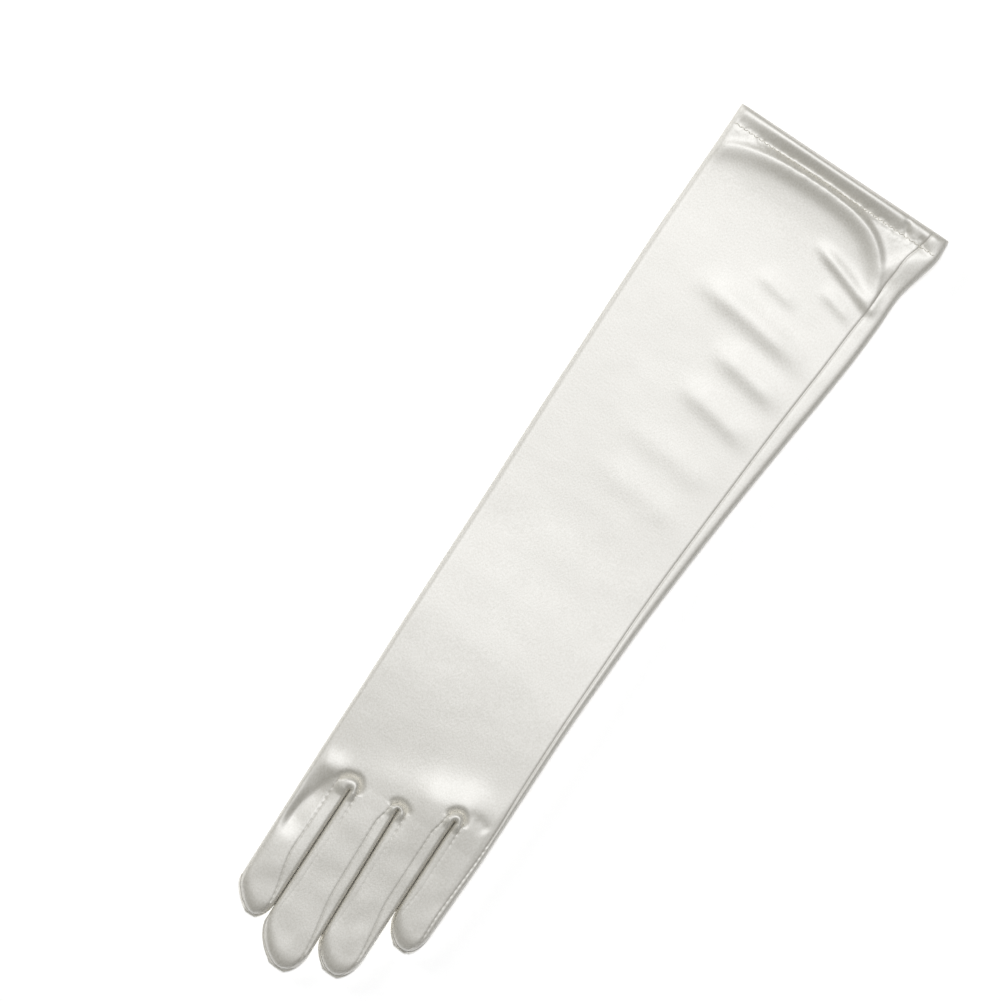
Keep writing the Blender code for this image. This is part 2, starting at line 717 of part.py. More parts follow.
def parting_cutter(name, shift, far_z, collection):
    """All that lies between the surface in which the trank parts, moved by shift, and the level far_z."""
    build = bmesh.new()
    near, far = [], []
    for row in range(PARTING_ROWS + 1):
        y = mix(LOWEST_TIP - CLOTH, CUFF_Y + CLOTH, row / PARTING_ROWS)
        across = [mix(-PARTING_REACH, PARTING_REACH, column / PARTING_COLUMNS) for column in range(PARTING_COLUMNS + 1)]
        near.append([build.verts.new((x, y, under_z(x, y) + PARTING_HEIGHT + shift)) for x in across])
        far.append([build.verts.new((x, y, far_z)) for x in across])

    def join(grid):
        for low, high in zip(grid, grid[1:]):
            for corners in zip(low, low[1:], high[1:], high):
                build.faces.new(corners)

    join(near)
    join(far)
    for edge in (0, -1):
        join([near[edge], far[edge]])
        join([[row[edge] for row in near], [row[edge] for row in far]])
    bmesh.ops.recalc_face_normals(build, faces=build.faces)
    mesh = bpy.data.meshes.new(name)
    build.to_mesh(mesh)
    build.free()
    return as_cutter(name, mesh, collection)


def cut(piece, cutter, touches_itself=False):
    """Cuts a piece. touches_itself is for one whose cloth runs into itself in tight bends, as in the fingertips."""
    opening = piece.modifiers.new("cut", "BOOLEAN")
    opening.operation = "DIFFERENCE"
    opening.solver = "EXACT"
    opening.use_self = touches_itself
    opening.object = cutter


def new_collection(name):
    collection = bpy.data.collections.new(name)
    bpy.context.scene.collection.children.link(collection)
    return collection


def main():
    for old in list(bpy.data.objects):
        bpy.data.objects.remove(old)
    glove = new_collection("bridal_glove")
    cutters = new_collection("cutters")
    satin = satin_material()

    patches = arm_faces()
    for k in range(len(FINGERS)):
        patches += finger_patches(k)
    back = sheet("trank_back", patches, glove, satin)
    cut(back, parting_cutter("below_parting_cutter", SEAM_GAP / 2, -CLOTH, cutters), touches_itself=True)
    palm = sheet("trank_palm", patches, glove, satin)
    cut(palm, parting_cutter("above_parting_cutter", -SEAM_GAP / 2, 2 * ARM_LOFT, cutters), touches_itself=True)
    inside_palm = THUMB_LOFT + SEAM_GAP + 2 * CLOTH
    cut(palm, hole_cutter("palm_hole_cutter", -CLOTH, inside_palm, cutters))

    for g, gap in enumerate(GAPS):
        sheet("fourchette_" + gap.name, [fourchette_patch(g)], glove, satin)

    thumb = sheet("thumb", thumb_patches(), glove, satin)
    cut(thumb, hole_cutter("thumb_mouth_cutter", THUMB_LOFT / 2, THUMB_LOFT + CLOTH, cutters))

    seat = CLOTH + SEAM_GAP
    hem_rows = [inset_ring(ring_at(SEAM_GAP + HEM_DEPTH * row / HEM_ROWS), seat) for row in range(HEM_ROWS + 1)]
    sheet("cuff_hem", [hem_rows], glove, satin, closed_rings=True)


main()
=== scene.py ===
"""Bridal glove: the looks of a left elbow-length dress glove of ivory stretch satin, lying back up."""

import math
from collections import namedtuple

import bmesh
import bpy
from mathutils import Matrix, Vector, noise


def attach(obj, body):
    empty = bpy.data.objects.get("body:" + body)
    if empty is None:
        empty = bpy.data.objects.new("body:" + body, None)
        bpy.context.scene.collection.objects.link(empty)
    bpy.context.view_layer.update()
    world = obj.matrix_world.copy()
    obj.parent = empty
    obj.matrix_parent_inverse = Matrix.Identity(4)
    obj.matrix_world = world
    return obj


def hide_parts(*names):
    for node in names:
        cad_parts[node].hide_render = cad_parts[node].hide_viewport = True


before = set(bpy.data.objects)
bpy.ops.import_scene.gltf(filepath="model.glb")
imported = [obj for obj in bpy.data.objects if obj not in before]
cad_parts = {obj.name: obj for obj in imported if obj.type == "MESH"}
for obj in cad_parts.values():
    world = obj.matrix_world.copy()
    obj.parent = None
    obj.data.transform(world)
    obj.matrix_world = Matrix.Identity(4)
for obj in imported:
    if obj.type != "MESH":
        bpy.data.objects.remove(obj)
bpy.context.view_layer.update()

# Back of the trank
# The trank is the one piece of stretch satin that makes the arm, the hand and the faces of the fingers. Its
# back half shows here: it lies over the folded thumb and the palm, in the soft ripples that cloth cut on the
# straight makes.
MM = 0.001
WALL_HALF = 0.0005
CUFF_Y = 0.190
ARM_LENGTH = 0.301
KNUCKLE_Y = CUFF_Y - ARM_LENGTH
CUFF_WIDTH = 0.098
CUFF_SLANT = 0.002
HAND_WIDTH = 0.0773
HAND_FADE = 0.25
FINGER_GAP = 0.00025
TIP_ROUND = 0.0130

# The arm from the knuckle line to the cuff. The edges are X as shares of the cuff's width, and the last three
# are shares of ARM_LOFT, THUMB_LOFT and ARM_SHOULDER.
Section = namedtuple("Section", "station index_edge little_edge loft over_thumb shoulder")
ARM_SECTIONS = (
    Section(0.000, -0.400, 0.389, 1.03, 0.10, 0.62),
    Section(0.113, -0.413, 0.378, 1.02, 0.72, 0.70),
    Section(0.210, -0.427, 0.370, 1.00, 0.90, 0.80),
    Section(0.300, -0.437, 0.371, 1.00, 0.55, 0.90),
    Section(0.390, -0.447, 0.376, 1.00, 0.12, 1.00),
    Section(0.534, -0.466, 0.397, 1.00, 0.00, 1.00),
    Section(0.663, -0.480, 0.425, 1.00, 0.00, 1.00),
    Section(0.793, -0.492, 0.455, 1.00, 0.00, 1.00),
    Section(0.858, -0.494, 0.461, 1.00, 0.00, 1.00),
    Section(0.906, -0.495, 0.460, 1.04, 0.00, 1.00),
    Section(0.939, -0.496, 0.480, 1.12, 0.00, 1.00),
    Section(0.971, -0.498, 0.500, 1.18, 0.00, 1.00),
    Section(1.000, -0.500, 0.494, 1.20, 0.00, 1.00),
)

# The gaps between the fingers. base and tip are shares of the hand's width, crotch is how far towards the cuff
# from the knuckle line the gap starts, in hand widths, and the rest are widths of the fourchette as shares
# of STRIP_SHOWN.
Gap = namedtuple("Gap", "name base tip crotch shown to_index to_cuff to_little")
GAPS = (
    Gap("index_middle", 0.236, 0.268, -0.069, 1.18, 1.16, 1.12, 0.64),
    Gap("middle_ring", 0.496, 0.562, -0.013, 0.96, 0.60, 0.56, 0.68),
    Gap("ring_little", 0.768, 0.802, 0.102, 0.98, 0.72, 0.90, 0.64),
)
OUTER_INDEX = (0.000, 0.048)
OUTER_LITTLE = (1.000, 1.002)

# The fingers: how far each reaches past the knuckle line, where its apex is across it, and how long, in
# TIP_ROUND, and how full its rounding is on each side.
Finger = namedtuple("Finger", "name length apex index_round index_full little_round little_full")
FINGERS = (
    Finger("index", 0.0679, 0.64, 0.78, 1.45, 0.69, 1.90),
    Finger("middle", 0.0790, 0.62, 1.04, 1.60, 1.00, 2.10),
    Finger("ring", 0.0692, 0.55, 0.78, 1.65, 1.04, 2.20),
    Finger("little", 0.0460, 0.60, 0.88, 1.80, 0.88, 2.20),
)
LAST = len(FINGERS) - 1


def mix(a, b, share):
    return a + (b - a) * share


def clamp(value):
    return max(0.0, min(1.0, value))


def smooth(share):
    """An S-shaped step from 0 to 1."""
    share = clamp(share)
    return share * share * (3 - 2 * share)


def rounded(share):
    """A quarter of a circle from 0, rising steeply, to 1, level."""
    share = clamp(share)
    return math.sqrt(1 - (1 - share) ** 2)


def corner(share, fullness):
    """Like rounded, with the fullness of a superellipse."""
    return (1 - (1 - clamp(share)) ** fullness) ** (1 / fullness)


def on_curve(rows, place, position, field):
    """A column of a table at a place, as a smooth curve through the table's rows."""
    place = max(getattr(rows[0], position), min(getattr(rows[-1], position), place))
    k = max(i for i in range(len(rows) - 1) if getattr(rows[i], position) <= place)
    before, low, high, after = (rows[max(k - 1, 0)], rows[k], rows[k + 1], rows[min(k + 2, len(rows) - 1)])
    span = getattr(high, position) - getattr(low, position)
    share = (place - getattr(low, position)) / span
    a, b = getattr(low, field), getattr(high, field)
    span_a = max(getattr(high, position) - getattr(before, position), span)
    span_b = max(getattr(after, position) - getattr(low, position), span)
    slope_a = (b - getattr(before, field)) / span_a * span
    slope_b = (getattr(after, field) - a) / span_b * span
    cube, square = share**3, share**2
    return (
        a * (2 * cube - 3 * square + 1)
        + slope_a * (cube - 2 * square + share)
        + b * (3 * square - 2 * cube)
        + slope_b * (cube - square)
    )


def along_arm(y, field):
    return on_curve(ARM_SECTIONS, (y - KNUCKLE_Y) / ARM_LENGTH, "station", field)


def hand_x(share):
    """An X from a share of the hand's width at the knuckle line."""
    return ARM_SECTIONS[0].index_edge * CUFF_WIDTH + WALL_HALF + share * (HAND_WIDTH - 2 * WALL_HALF)


def line_x(ends, y):
    """A line down the fingers, from its share at the knuckle line to its share at the fingertips."""
    return hand_x(mix(ends[0], ends[1], clamp((KNUCKLE_Y - y) / (KNUCKLE_Y + CUFF_Y))))


def outer_edge(side, y):
    """The glove's outline. side is -1 for the index edge and +1 for the little-finger edge."""
    if y < KNUCKLE_Y:
        return line_x(OUTER_INDEX if side < 0 else OUTER_LITTLE, y)
    if side < 0:
        return along_arm(y, "index_edge") * CUFF_WIDTH + WALL_HALF
    arm = along_arm(y, "little_edge") * CUFF_WIDTH - WALL_HALF
    at_knuckles = ARM_SECTIONS[0].little_edge * CUFF_WIDTH - WALL_HALF
    fading = 1 - smooth((y - KNUCKLE_Y) / ARM_LENGTH / HAND_FADE)
    return arm + (line_x(OUTER_LITTLE, KNUCKLE_Y) - at_knuckles) * fading


def gap_x(gap, y):
    return line_x((gap.base, gap.tip), y)


def crotch_point(gap):
    y = KNUCKLE_Y + gap.crotch * HAND_WIDTH
    return Vector((gap_x(gap, y), y))


CROTCHES = [crotch_point(gap) for gap in GAPS]


def finger_lines(k, y):
    """The X of a finger's two sides before its tip is rounded."""
    half_gap = FINGER_GAP / 2
    left = outer_edge(-1, y) if k == 0 else gap_x(GAPS[k - 1], y) + half_gap
    right = outer_edge(1, y) if k == LAST else gap_x(GAPS[k], y) - half_gap
    return left, right


def tip_y(k):
    return KNUCKLE_Y - FINGERS[k].length + WALL_HALF


TIP_LINES = [finger_lines(k, tip_y(k)) for k in range(len(FINGERS))]
APEXES = [mix(left, right, finger.apex) for (left, right), finger in zip(TIP_LINES, FINGERS)]


def finger_edges(k, y):
    """The X of a finger's two sides, with its tip rounded."""
    finger, apex = FINGERS[k], APEXES[k]
    left, right = finger_lines(k, y)
    depth = y - tip_y(k)
    left = mix(apex, left, corner(depth / (finger.index_round * TIP_ROUND), finger.index_full))
    right = mix(apex, right, corner(depth / (finger.little_round * TIP_ROUND), finger.little_full))
    return left, right


def side_edge(k, side, y):
    return finger_edges(k, y)[0 if side < 0 else 1]


def tip_depth(k, x, y):
    """How far along the finger a point lies from the rounded end."""
    finger, apex = FINGERS[k], APEXES[k]
    left, right = TIP_LINES[k]
    if x < apex:
        across, length, fullness = (apex - x) / (apex - left), finger.index_round, finger.index_full
    else:
        across, length, fullness = (x - apex) / (right - apex), finger.little_round, finger.little_full
    end = length * TIP_ROUND * (1 - (1 - clamp(across) ** fullness) ** (1 / fullness))
    return y - tip_y(k) - end


# Folds and ripples of the laid cloth, in millimetres: the line each follows, its half-widths to the left and
# right of that line, its height at the start and end as shares of its full one, and that height, which is
# less than 0 for a hollow.
Fold = namedtuple("Fold", "name line left right start end height")
HEM_RISE_LINE = (
    (-46, 170), (-38, 174.5), (-22, 178.2), (0, 179.4), (18, 177.2), (27, 171.8), (33, 164), (36, 156),
)
PINCH_LINE = ((-28, -116.6), (-29.5, -120.5), (-31.5, -127), (-33.5, -135), (-35.0, -146))
FOLDS = (
    Fold("hem_roll", ((-47, 187.2), (0, 187.6), (26, 188.3), (42, 187.9)), 1.6, 4.4, 0.4, 0.3, 1.60),
    Fold("hem_hollow", ((-46, 181.0), (0, 181.6), (24, 182.2), (44, 181.8)), 2.8, 1.7, 0.4, 0.2, -0.70),
    Fold("hem_rise", HEM_RISE_LINE, 2.2, 4.5, 0.4, 0.5, 1.45),
    Fold("hem_corner", ((44, 180), (36, 172), (33, 162)), 5.0, 3.0, 0.5, 0.0, 0.5),
    Fold("corner_tuck", ((29.5, 188), (31, 184.5), (33.5, 182)), 1.5, 1.1, 0.4, 0.3, -0.55),
    Fold("seam_tuck", ((37, 186), (40, 183), (42, 181.5)), 1.4, 1.4, 0.2, 0.6, -0.45),
    Fold("strip_tuck", ((43, 170), (44.5, 165), (43.5, 160)), 1.3, 1.3, 0.2, 0.4, -0.35),
    Fold("crease", ((4, 161), (22, 156), (37, 151)), 3.0, 2.1, 0.0, 1.0, 0.72),
    Fold("crease_below", ((16, 147), (27, 145), (36, 142)), 3.5, 2.4, 0.0, 0.3, 0.34),
    Fold("arm_slack", ((-8, 138), (5, 137), (16, 134)), 3.5, 2.6, 0.0, 0.0, 0.28),
    Fold("ripple_1", ((-28, 123.5), (5, 121.4), (34, 117)), 6.0, 4.6, 0.0, 0.1, 0.74),
    Fold("ripple_2", ((-6, 104.4), (14, 103.0), (35, 99)), 6.0, 4.4, 0.0, 0.1, 0.64),
    Fold("ripple_3", ((-10, 86), (10, 84.5), (34, 80)), 6.0, 4.4, 0.0, 0.1, 0.54),
    Fold("ripple_4", ((-20, 62), (8, 60.5), (33, 57)), 6.0, 5.0, 0.0, 0.0, 0.18),
    Fold("ripple_5", ((-22, 43), (6, 42), (33, 39)), 6.0, 5.0, 0.0, 0.0, 0.16),
    Fold("wrist", ((-34, 8), (0, 4), (32, 6)), 9.0, 9.0, 0.0, 0.0, 0.14),
    Fold("knuckles", ((-4, -104), (8, -102.5), (20, -97.5), (33, -93)), 9.5, 24.0, 0.3, 0.3, 1.75),
    Fold("little_knuckle", ((25, -97), (29, -97.5), (33, -99.5)), 2.4, 2.6, 0.6, 0.0, -0.35),
    Fold("index_knuckle", ((-33, -112.3), (-30, -111.8)), 4.6, 4.8, 1.0, 1.0, 0.70),
    Fold("index_hollow", ((-41, -125), (-33, -122.8)), 6.5, 17.0, 1.0, 1.0, -0.85),
    Fold("pinch", PINCH_LINE, 5.2, 2.6, 0.5, 0.0, -1.15),
    Fold("index_swell", ((-33, -151), (-29, -155)), 7.0, 7.0, 1.0, 1.0, 0.35),
)
FOLD_REACH = 2.6  # half-widths from its line, past which a fold counts as nothing
FOLD_END = 0.35  # share of its length over which a fold rises at each end


def rounded_line(points):
    """A line through points with its corners cut three times, which leaves it smooth."""
    line = [Vector(point) for point in points]
    for _ in range(3):
        cut = [line[0]]
        for a, b in zip(line, line[1:]):
            cut += [a.lerp(b, 0.25), a.lerp(b, 0.75)]
        line = cut + [line[-1]]
    return line


def laid_fold(fold):
    """A fold's line, with its length up to each point, and the box that it reaches."""
    line = rounded_line(fold.line)
    lengths = [0.0]
    for a, b in zip(line, line[1:]):
        lengths.append(lengths[-1] + (b - a).length)
    reach = FOLD_REACH * max(fold.left, fold.right)
    box = (
        min(p.x for p in line) - reach, max(p.x for p in line) + reach,
        min(p.y for p in line) - reach, max(p.y for p in line) + reach,
    )
    return fold, line, lengths, box


LAID_FOLDS = [laid_fold(fold) for fold in FOLDS]


def fold_height(laid, x, y):
    """Height that one fold gives a place, all in millimetres."""
    fold, line, lengths, box = laid
    if not (box[0] < x < box[1] and box[2] < y < box[3]):
        return 0.0
    best = None
    for i in range(len(line) - 1):
        a, b = line[i], line[i + 1]
        run_x, run_y = b.x - a.x, b.y - a.y
        long = run_x * run_x + run_y * run_y
        share = ((x - a.x) * run_x + (y - a.y) * run_y) / long
        inside = clamp(share)
        off_x, off_y = x - a.x - run_x * inside, y - a.y - run_y * inside
        away = off_x * off_x + off_y * off_y
        if best is None or away < best[0]:
            side = (run_x * off_y - run_y * off_x) / max(math.sqrt(long * away), 0.0001)
            best = (away, side, (lengths[i] + math.sqrt(long) * inside) / lengths[-1])
    away, side, along = best
    half_width = mix(fold.right, fold.left, smooth((1 + side) / 2))
    at_start = mix(fold.start, 1.0, smooth(along / FOLD_END))
    at_end = mix(fold.end, 1.0, smooth((1 - along) / FOLD_END))
    return fold.height * at_start * at_end * math.exp(-away / half_width**2)


# Unevenness of the cloth, all in millimetres: its size across and along the glove, and its height. start is
# its place in the noise.
Unevenness = namedtuple("Unevenness", "across along height start")
COARSE_PUCKERS = Unevenness(2.6, 3.2, 0.14, 5.5)
FINE_PUCKERS = Unevenness(1.1, 1.3, 0.10, 9.5)
WIDE_SLACK = Unevenness(26, 15, 0.05, 3.1)
CLOSE_SLACK = Unevenness(9, 6, 0.022, 7.7)
FINGER_SLACK = Unevenness(7, 11, 0.17, 1.3)
FINGER_SLACK_FROM = -112
FINGER_SLACK_FADE = 14
PUCKERS_END = 6  # distance from the stitches
PUCKERS_FADE = 3.0
HEM_STITCHED = 0.0078


def uneven(kind, x, y):
    return kind.height * noise.noise(Vector((x / kind.across, y / kind.along, kind.start)))


def hem_stitch_y(x):
    """The line of the hem's stitches, which runs along the cuff's edge."""
    across = clamp(x / CUFF_WIDTH + 0.5)
    return CUFF_Y - CUFF_SLANT * (1 - across) - HEM_STITCHED


def puckers(x, y):
    """Small gathers of the cloth along the hem's stitches, in millimetres."""
    away = (y - hem_stitch_y(x)) / MM
    if abs(away) > PUCKERS_END:
        return 0.0
    gathers = uneven(COARSE_PUCKERS, x / MM, away) + uneven(FINE_PUCKERS, x / MM, away)
    return gathers * math.exp(-((away / PUCKERS_FADE) ** 2))


def drape(x, y):
    """How far the folds and the slackness of the cloth raise it at a place."""
    at = (x / MM, y / MM)
    height = sum(fold_height(laid, *at) for laid in LAID_FOLDS) + puckers(x, y)
    slack = uneven(WIDE_SLACK, *at) + uneven(CLOSE_SLACK, *at)
    on_fingers = uneven(FINGER_SLACK, *at) * smooth((FINGER_SLACK_FROM - at[1]) / FINGER_SLACK_FADE)
    return (height + slack + on_fingers) * MM


DRAPE_DROP = 0.0002  # how far the cloth's face lies under the solid wall's
DRAPE_FADE = 0.005
ARM_LOFT = 0.0082
THUMB_LOFT = 0.0019
FINGER_LOFT = 0.0084
FINGER_LOFT_AT_TIP = 0.0066
ARM_SHOULDER = 0.0038
FINGER_SHOULDER = 0.0044
GAP_SHOULDER = 0.0022
SHOULDER_FULLNESS = 3.6
EDGE_WIDEST = 0.0027
CUFF_WIDEST = 0.0040
CUFF_FLARE = 0.045
CUFF_TURN = 0.0032  # how far from its edge the cuff starts to turn in
CUFF_TURN_LEFT = 0.80  # share of the height that is left at the edge
SIDE_LOW = 0.0020
TIP_SLOPE = 0.008
TIP_FOLD = 0.0026
TIP_FULLNESS = 3.0


def edge_widest(y):
    """Height above the palm where a folded edge is widest."""
    return mix(EDGE_WIDEST, CUFF_WIDEST, smooth((y - (CUFF_Y - CUFF_FLARE)) / CUFF_FLARE))


def finger_share(y):
    """0 on the hand and 1 on the fingers, with a smooth change across the knuckles."""
    return smooth((CROTCHES[-1].y - y) / (CROTCHES[-1].y - tip_y(LAST)))


def crest_z(y):
    """Height of the middle of the back of the glove."""
    arm = along_arm(y, "loft") * ARM_LOFT + along_arm(y, "over_thumb") * THUMB_LOFT
    fingers = mix(FINGER_LOFT, FINGER_LOFT_AT_TIP, smooth((CROTCHES[0].y - y) / (FINGERS[1].length)))
    return mix(arm, fingers, finger_share(y)) - DRAPE_DROP


def back_z(x, y):
    """Height of the back of the glove, without the gaps and fingertips."""
    left, right = outer_edge(-1, y), outer_edge(1, y)
    from_edge = min(x - left, right - x)
    shoulder = mix(along_arm(y, "shoulder") * ARM_SHOULDER, FINGER_SHOULDER, finger_share(y))
    edge = WALL_HALF + edge_widest(y)
    height = mix(edge, crest_z(y), corner(from_edge / shoulder, SHOULDER_FULLNESS))
    height += drape(x, y) * smooth(from_edge / DRAPE_FADE)
    to_cuff = CUFF_Y - CUFF_SLANT * (1 - (x - left) / (right - left)) - y
    return mix(edge, height, mix(CUFF_TURN_LEFT, 1.0, rounded(to_cuff / CUFF_TURN)))


def beside_gap_z(x, y, from_gap, from_tip=math.inf):
    """Height of the back, with a finger's side and tip rounded off. The last two are distances from them."""
    full = back_z(x, y)
    if from_tip < TIP_SLOPE + TIP_FOLD:
        full = mix(TIP_FOLD, full, corner((from_tip - TIP_FOLD / 2) / TIP_SLOPE, TIP_FULLNESS))
    return mix(SIDE_LOW, max(full, SIDE_LOW), corner(from_gap / GAP_SHOULDER, SHOULDER_FULLNESS))


# Seams are narrow valleys, a little deeper at each stitch. Round the start of a gap the seam lies in a wider
# and deeper one, the loop.
SEAM_DEPTH = 0.00028
SEAM_HALF_WIDTH = 0.00042
SEAM_PITCH = 0.0026
STITCH_DRAW = 0.28
SEAM_SHALLOW = 0.0015  # height above a finger's side over which a seam gets its full depth
LOOP_DEPTH = 0.0012
LOOP_HALF_WIDTH = 0.0015
LOOP_FULL = 1.6
LEFT_SEAM_FADE = 0.014
LEFT_SEAM_LEFT = 0.30
HAND_SEAM_REACH = 0.014
HAND_SEAM_BELOW = 0.004
STRIP_SHOWN = 0.0050
STRIP_TUCKED = 0.0034
STRIP_END = 0.0018
STRIP_TAPER_FROM = 0.50
STRIP_STOPS_AT = 0.874  # share of the finger's length
CROTCH_EASE = 0.009

# The side seam's distance in from the little-finger edge, in millimetres, at places along the glove.
SeamPlace = namedtuple("SeamPlace", "y inset")
SIDE_SEAM = (
    SeamPlace(-185, 1.5), SeamPlace(-153, 1.5), SeamPlace(-146, 2.1), SeamPlace(-136, 2.6),
    SeamPlace(-116, 2.2), SeamPlace(-97, 1.9), SeamPlace(-77, 2.5), SeamPlace(-48, 2.8),
    SeamPlace(-19, 3.3), SeamPlace(1, 3.9), SeamPlace(20, 4.5), SeamPlace(40, 5.0),
    SeamPlace(60, 5.6), SeamPlace(79, 6.4), SeamPlace(99, 7.1), SeamPlace(118, 7.6),
    SeamPlace(138, 7.9), SeamPlace(157, 7.1), SeamPlace(167, 8.0), SeamPlace(177, 9.6),
    SeamPlace(190, 6.9),
)


def side_seam_inset(y):
    return on_curve(SIDE_SEAM, y / MM, "y", "inset") * MM


def valley(distance, depth, half_width):
    return -depth * math.exp(-((distance / half_width) ** 2))


def sewn_valley(distance, along):
    """The dip of a seam, deeper at each stitch."""
    drawn_in = 1 - STITCH_DRAW + STITCH_DRAW * math.sin(2 * math.pi * along / SEAM_PITCH)
    return valley(distance, SEAM_DEPTH, SEAM_HALF_WIDTH) * drawn_in


def crotch_direction(turn):
    """A direction from the start of a gap. turn is 0 towards the index edge and 1 towards the other."""
    angle = math.pi * (1 - turn)
    return Vector((math.cos(angle), math.sin(angle)))


def crotch_reach(gap, towards):
    """Width of the fourchette seen from above, in a direction from the start of the gap."""
    sideways = gap.to_index if towards.x < 0 else gap.to_little
    return STRIP_SHOWN / math.hypot(towards.x / sideways, towards.y / gap.to_cuff)


def loop_share(towards):
    """The loop is deepest towards the cuff and ends at the sides of the gap."""
    return smooth(towards.y * LOOP_FULL)


def hand_seams_z(x, y):
    """Depth of the seams round the starts of the gaps, on the hand."""
    depth = 0.0
    for gap, crotch in zip(GAPS, CROTCHES):
        out = Vector((x, y)) - crotch
        if out.length < HAND_SEAM_REACH and out.y > -HAND_SEAM_BELOW:
            towards = out.normalized()
            distance = out.length - crotch_reach(gap, towards)
            depth += valley(distance, SEAM_DEPTH, SEAM_HALF_WIDTH)
            depth += valley(distance, LOOP_DEPTH, LOOP_HALF_WIDTH) * loop_share(towards)
    return depth


def gap_distance(x, y):
    """Distance from a point of the hand to the nearest start of a gap."""
    return min((crotch - Vector((x, y))).length for crotch in CROTCHES) - FINGER_GAP / 2


def strip_reach(gap, side, y, share):
    """Width of a fourchette seen from above, beside a finger. side is -1 on the gap's index side."""
    start = (gap.to_index if side < 0 else gap.to_little) * STRIP_SHOWN
    wide = gap.shown * STRIP_SHOWN if side < 0 else STRIP_TUCKED
    reach = mix(start, wide, smooth((crotch_point(gap).y - y) / CROTCH_EASE))
    taper = (share - STRIP_TAPER_FROM) / (STRIP_STOPS_AT - STRIP_TAPER_FROM)
    return mix(reach, min(reach, STRIP_END), smooth(taper))


def is_outer(k, side):
    return (side < 0 and k == 0) or (side > 0 and k == LAST)


def gap_beside(k, side):
    return GAPS[min(max(k - 1 if side < 0 else k, 0), len(GAPS) - 1)]


def gap_start_y(k, side):
    return crotch_point(gap_beside(k, side)).y


def left_seam_depth(k, y):
    """The seam on a finger's index side lies flatter further down the finger."""
    return mix(1.0, LEFT_SEAM_LEFT, smooth((gap_start_y(k, -1) - y) / LEFT_SEAM_FADE))


def finger_y(k, side, share):
    """The Y at a share of a finger's length, down one of its sides."""
    return mix(gap_start_y(k, side), tip_y(k) + TIP_FOLD / 2, share)


def face_boundary(k, side, share):
    """Where a finger's face ends at one side: at the fourchette's seam, or at the glove's outline."""
    y = finger_y(k, side, share)
    edge = side_edge(k, side, y)
    if is_outer(k, side):
        return Vector((edge, y))
    reach = strip_reach(gap_beside(k, side), -side, y, share)
    if share > STRIP_STOPS_AT:
        reach = mix(reach, TIP_FOLD / 2, (share - STRIP_STOPS_AT) / (1 - STRIP_STOPS_AT))
    return Vector((edge - side * reach, y))


# The mesh's columns and rows lie closer together at seams, edges, gaps and the hem.
FINGER_COLUMNS = 26
CROTCH_COLUMNS = 16
SEAM_STEPS = (0.0, 0.00015, 0.00035, 0.0007, 0.0012)
SEAM_ROOM = 0.0024  # distance of the side seam from the edge below which its columns are squeezed
OUTLINE_STEPS = (0.0, 0.02, 0.07, 0.15, 0.26, 0.40, 0.57, 0.77, 1.0)  # shares of OUTLINE_REACH
OUTLINE_REACH = 0.003
BEYOND_SEAM = (0.84, 0.66, 0.48, 0.32, 0.19, 0.09, 0.03, 0.0)  # shares of what lies outside the side seam
SIDE_SHARE_MOST = 0.42  # most of a face's width that the columns at one side take
SPREAD_ENDS = 0.6  # how far a finger's rows are drawn towards both of its ends
ARM_SPREAD = 1.5  # the arm's columns are evenly spread from the inverse of this share of its length on
FIRST_STEP = 0.00015
STEP_GROWTH = 0.12
HAND_STEP = 0.0007
ARM_STEP = 0.0012
HEM_STEP = 0.00045
HAND_STEPS_END = 0.03
HEM_STEPS_FROM = 0.018
HEM_STEPS_FADE = 0.012
TIP_STEPS = 7
TIP_SWELL_FROM = 0.35
SIDE_CURVE = 1.6
SIDE_OUTS = [1 - (1 - step / TIP_STEPS) ** SIDE_CURVE for step in range(TIP_STEPS + 1)]


def left_insets(_):
    """Distances in from the index edge of the columns beside it."""
    return [step * OUTLINE_REACH for step in OUTLINE_STEPS]


def right_insets(y):
    """Distances in from the little-finger edge of the columns beside it, which follow the side seam."""
    seam = side_seam_inset(y)
    squeeze = min(1.0, seam / SEAM_ROOM)
    inner = [seam + step * squeeze for step in reversed(SEAM_STEPS)]
    outer = [seam - step * squeeze for step in SEAM_STEPS[1:4]]
    return inner + outer + [outer[-1] * share for share in BEYOND_SEAM]


def face_row(k, share):
    """The places across one row of a finger's face, each with the dip that the seams make there."""
    first, last = face_boundary(k, -1, share), face_boundary(k, 1, share)
    width = last.x - first.x
    left = left_insets(first.y) if k == 0 else list(SEAM_STEPS)
    right = right_insets(last.y) if k == LAST else list(reversed(SEAM_STEPS))
    squeeze = min(1.0, SIDE_SHARE_MOST * width / max(left[-1], right[0]))
    xs = [first.x + inset * squeeze for inset in left]
    inner_left, inner_right = xs[-1], last.x - right[0] * squeeze
    xs += [mix(inner_left, inner_right, i / FINGER_COLUMNS) for i in range(1, FINGER_COLUMNS)]
    xs += [last.x - inset * squeeze for inset in right]
    places = []
    for x in xs:
        y = mix(first.y, last.y, (x - first.x) / width)
        from_right_seam = last.x - x - (side_seam_inset(last.y) * squeeze if k == LAST else 0.0)
        dip = sewn_valley(from_right_seam, y)
        if k != 0:
            dip += sewn_valley(x - first.x, y) * left_seam_depth(k, y)
        places.append((x, y, dip))
    return places


def finger_back_point(k, x, y, dip):
    left, right = finger_edges(k, y)
    from_gap = min(math.inf if k == 0 else x - left, math.inf if k == LAST else right - x)
    z = beside_gap_z(x, y, from_gap, tip_depth(k, x, y))
    return Vector((x, y, z + dip * smooth((z - SIDE_LOW) / SEAM_SHALLOW)))


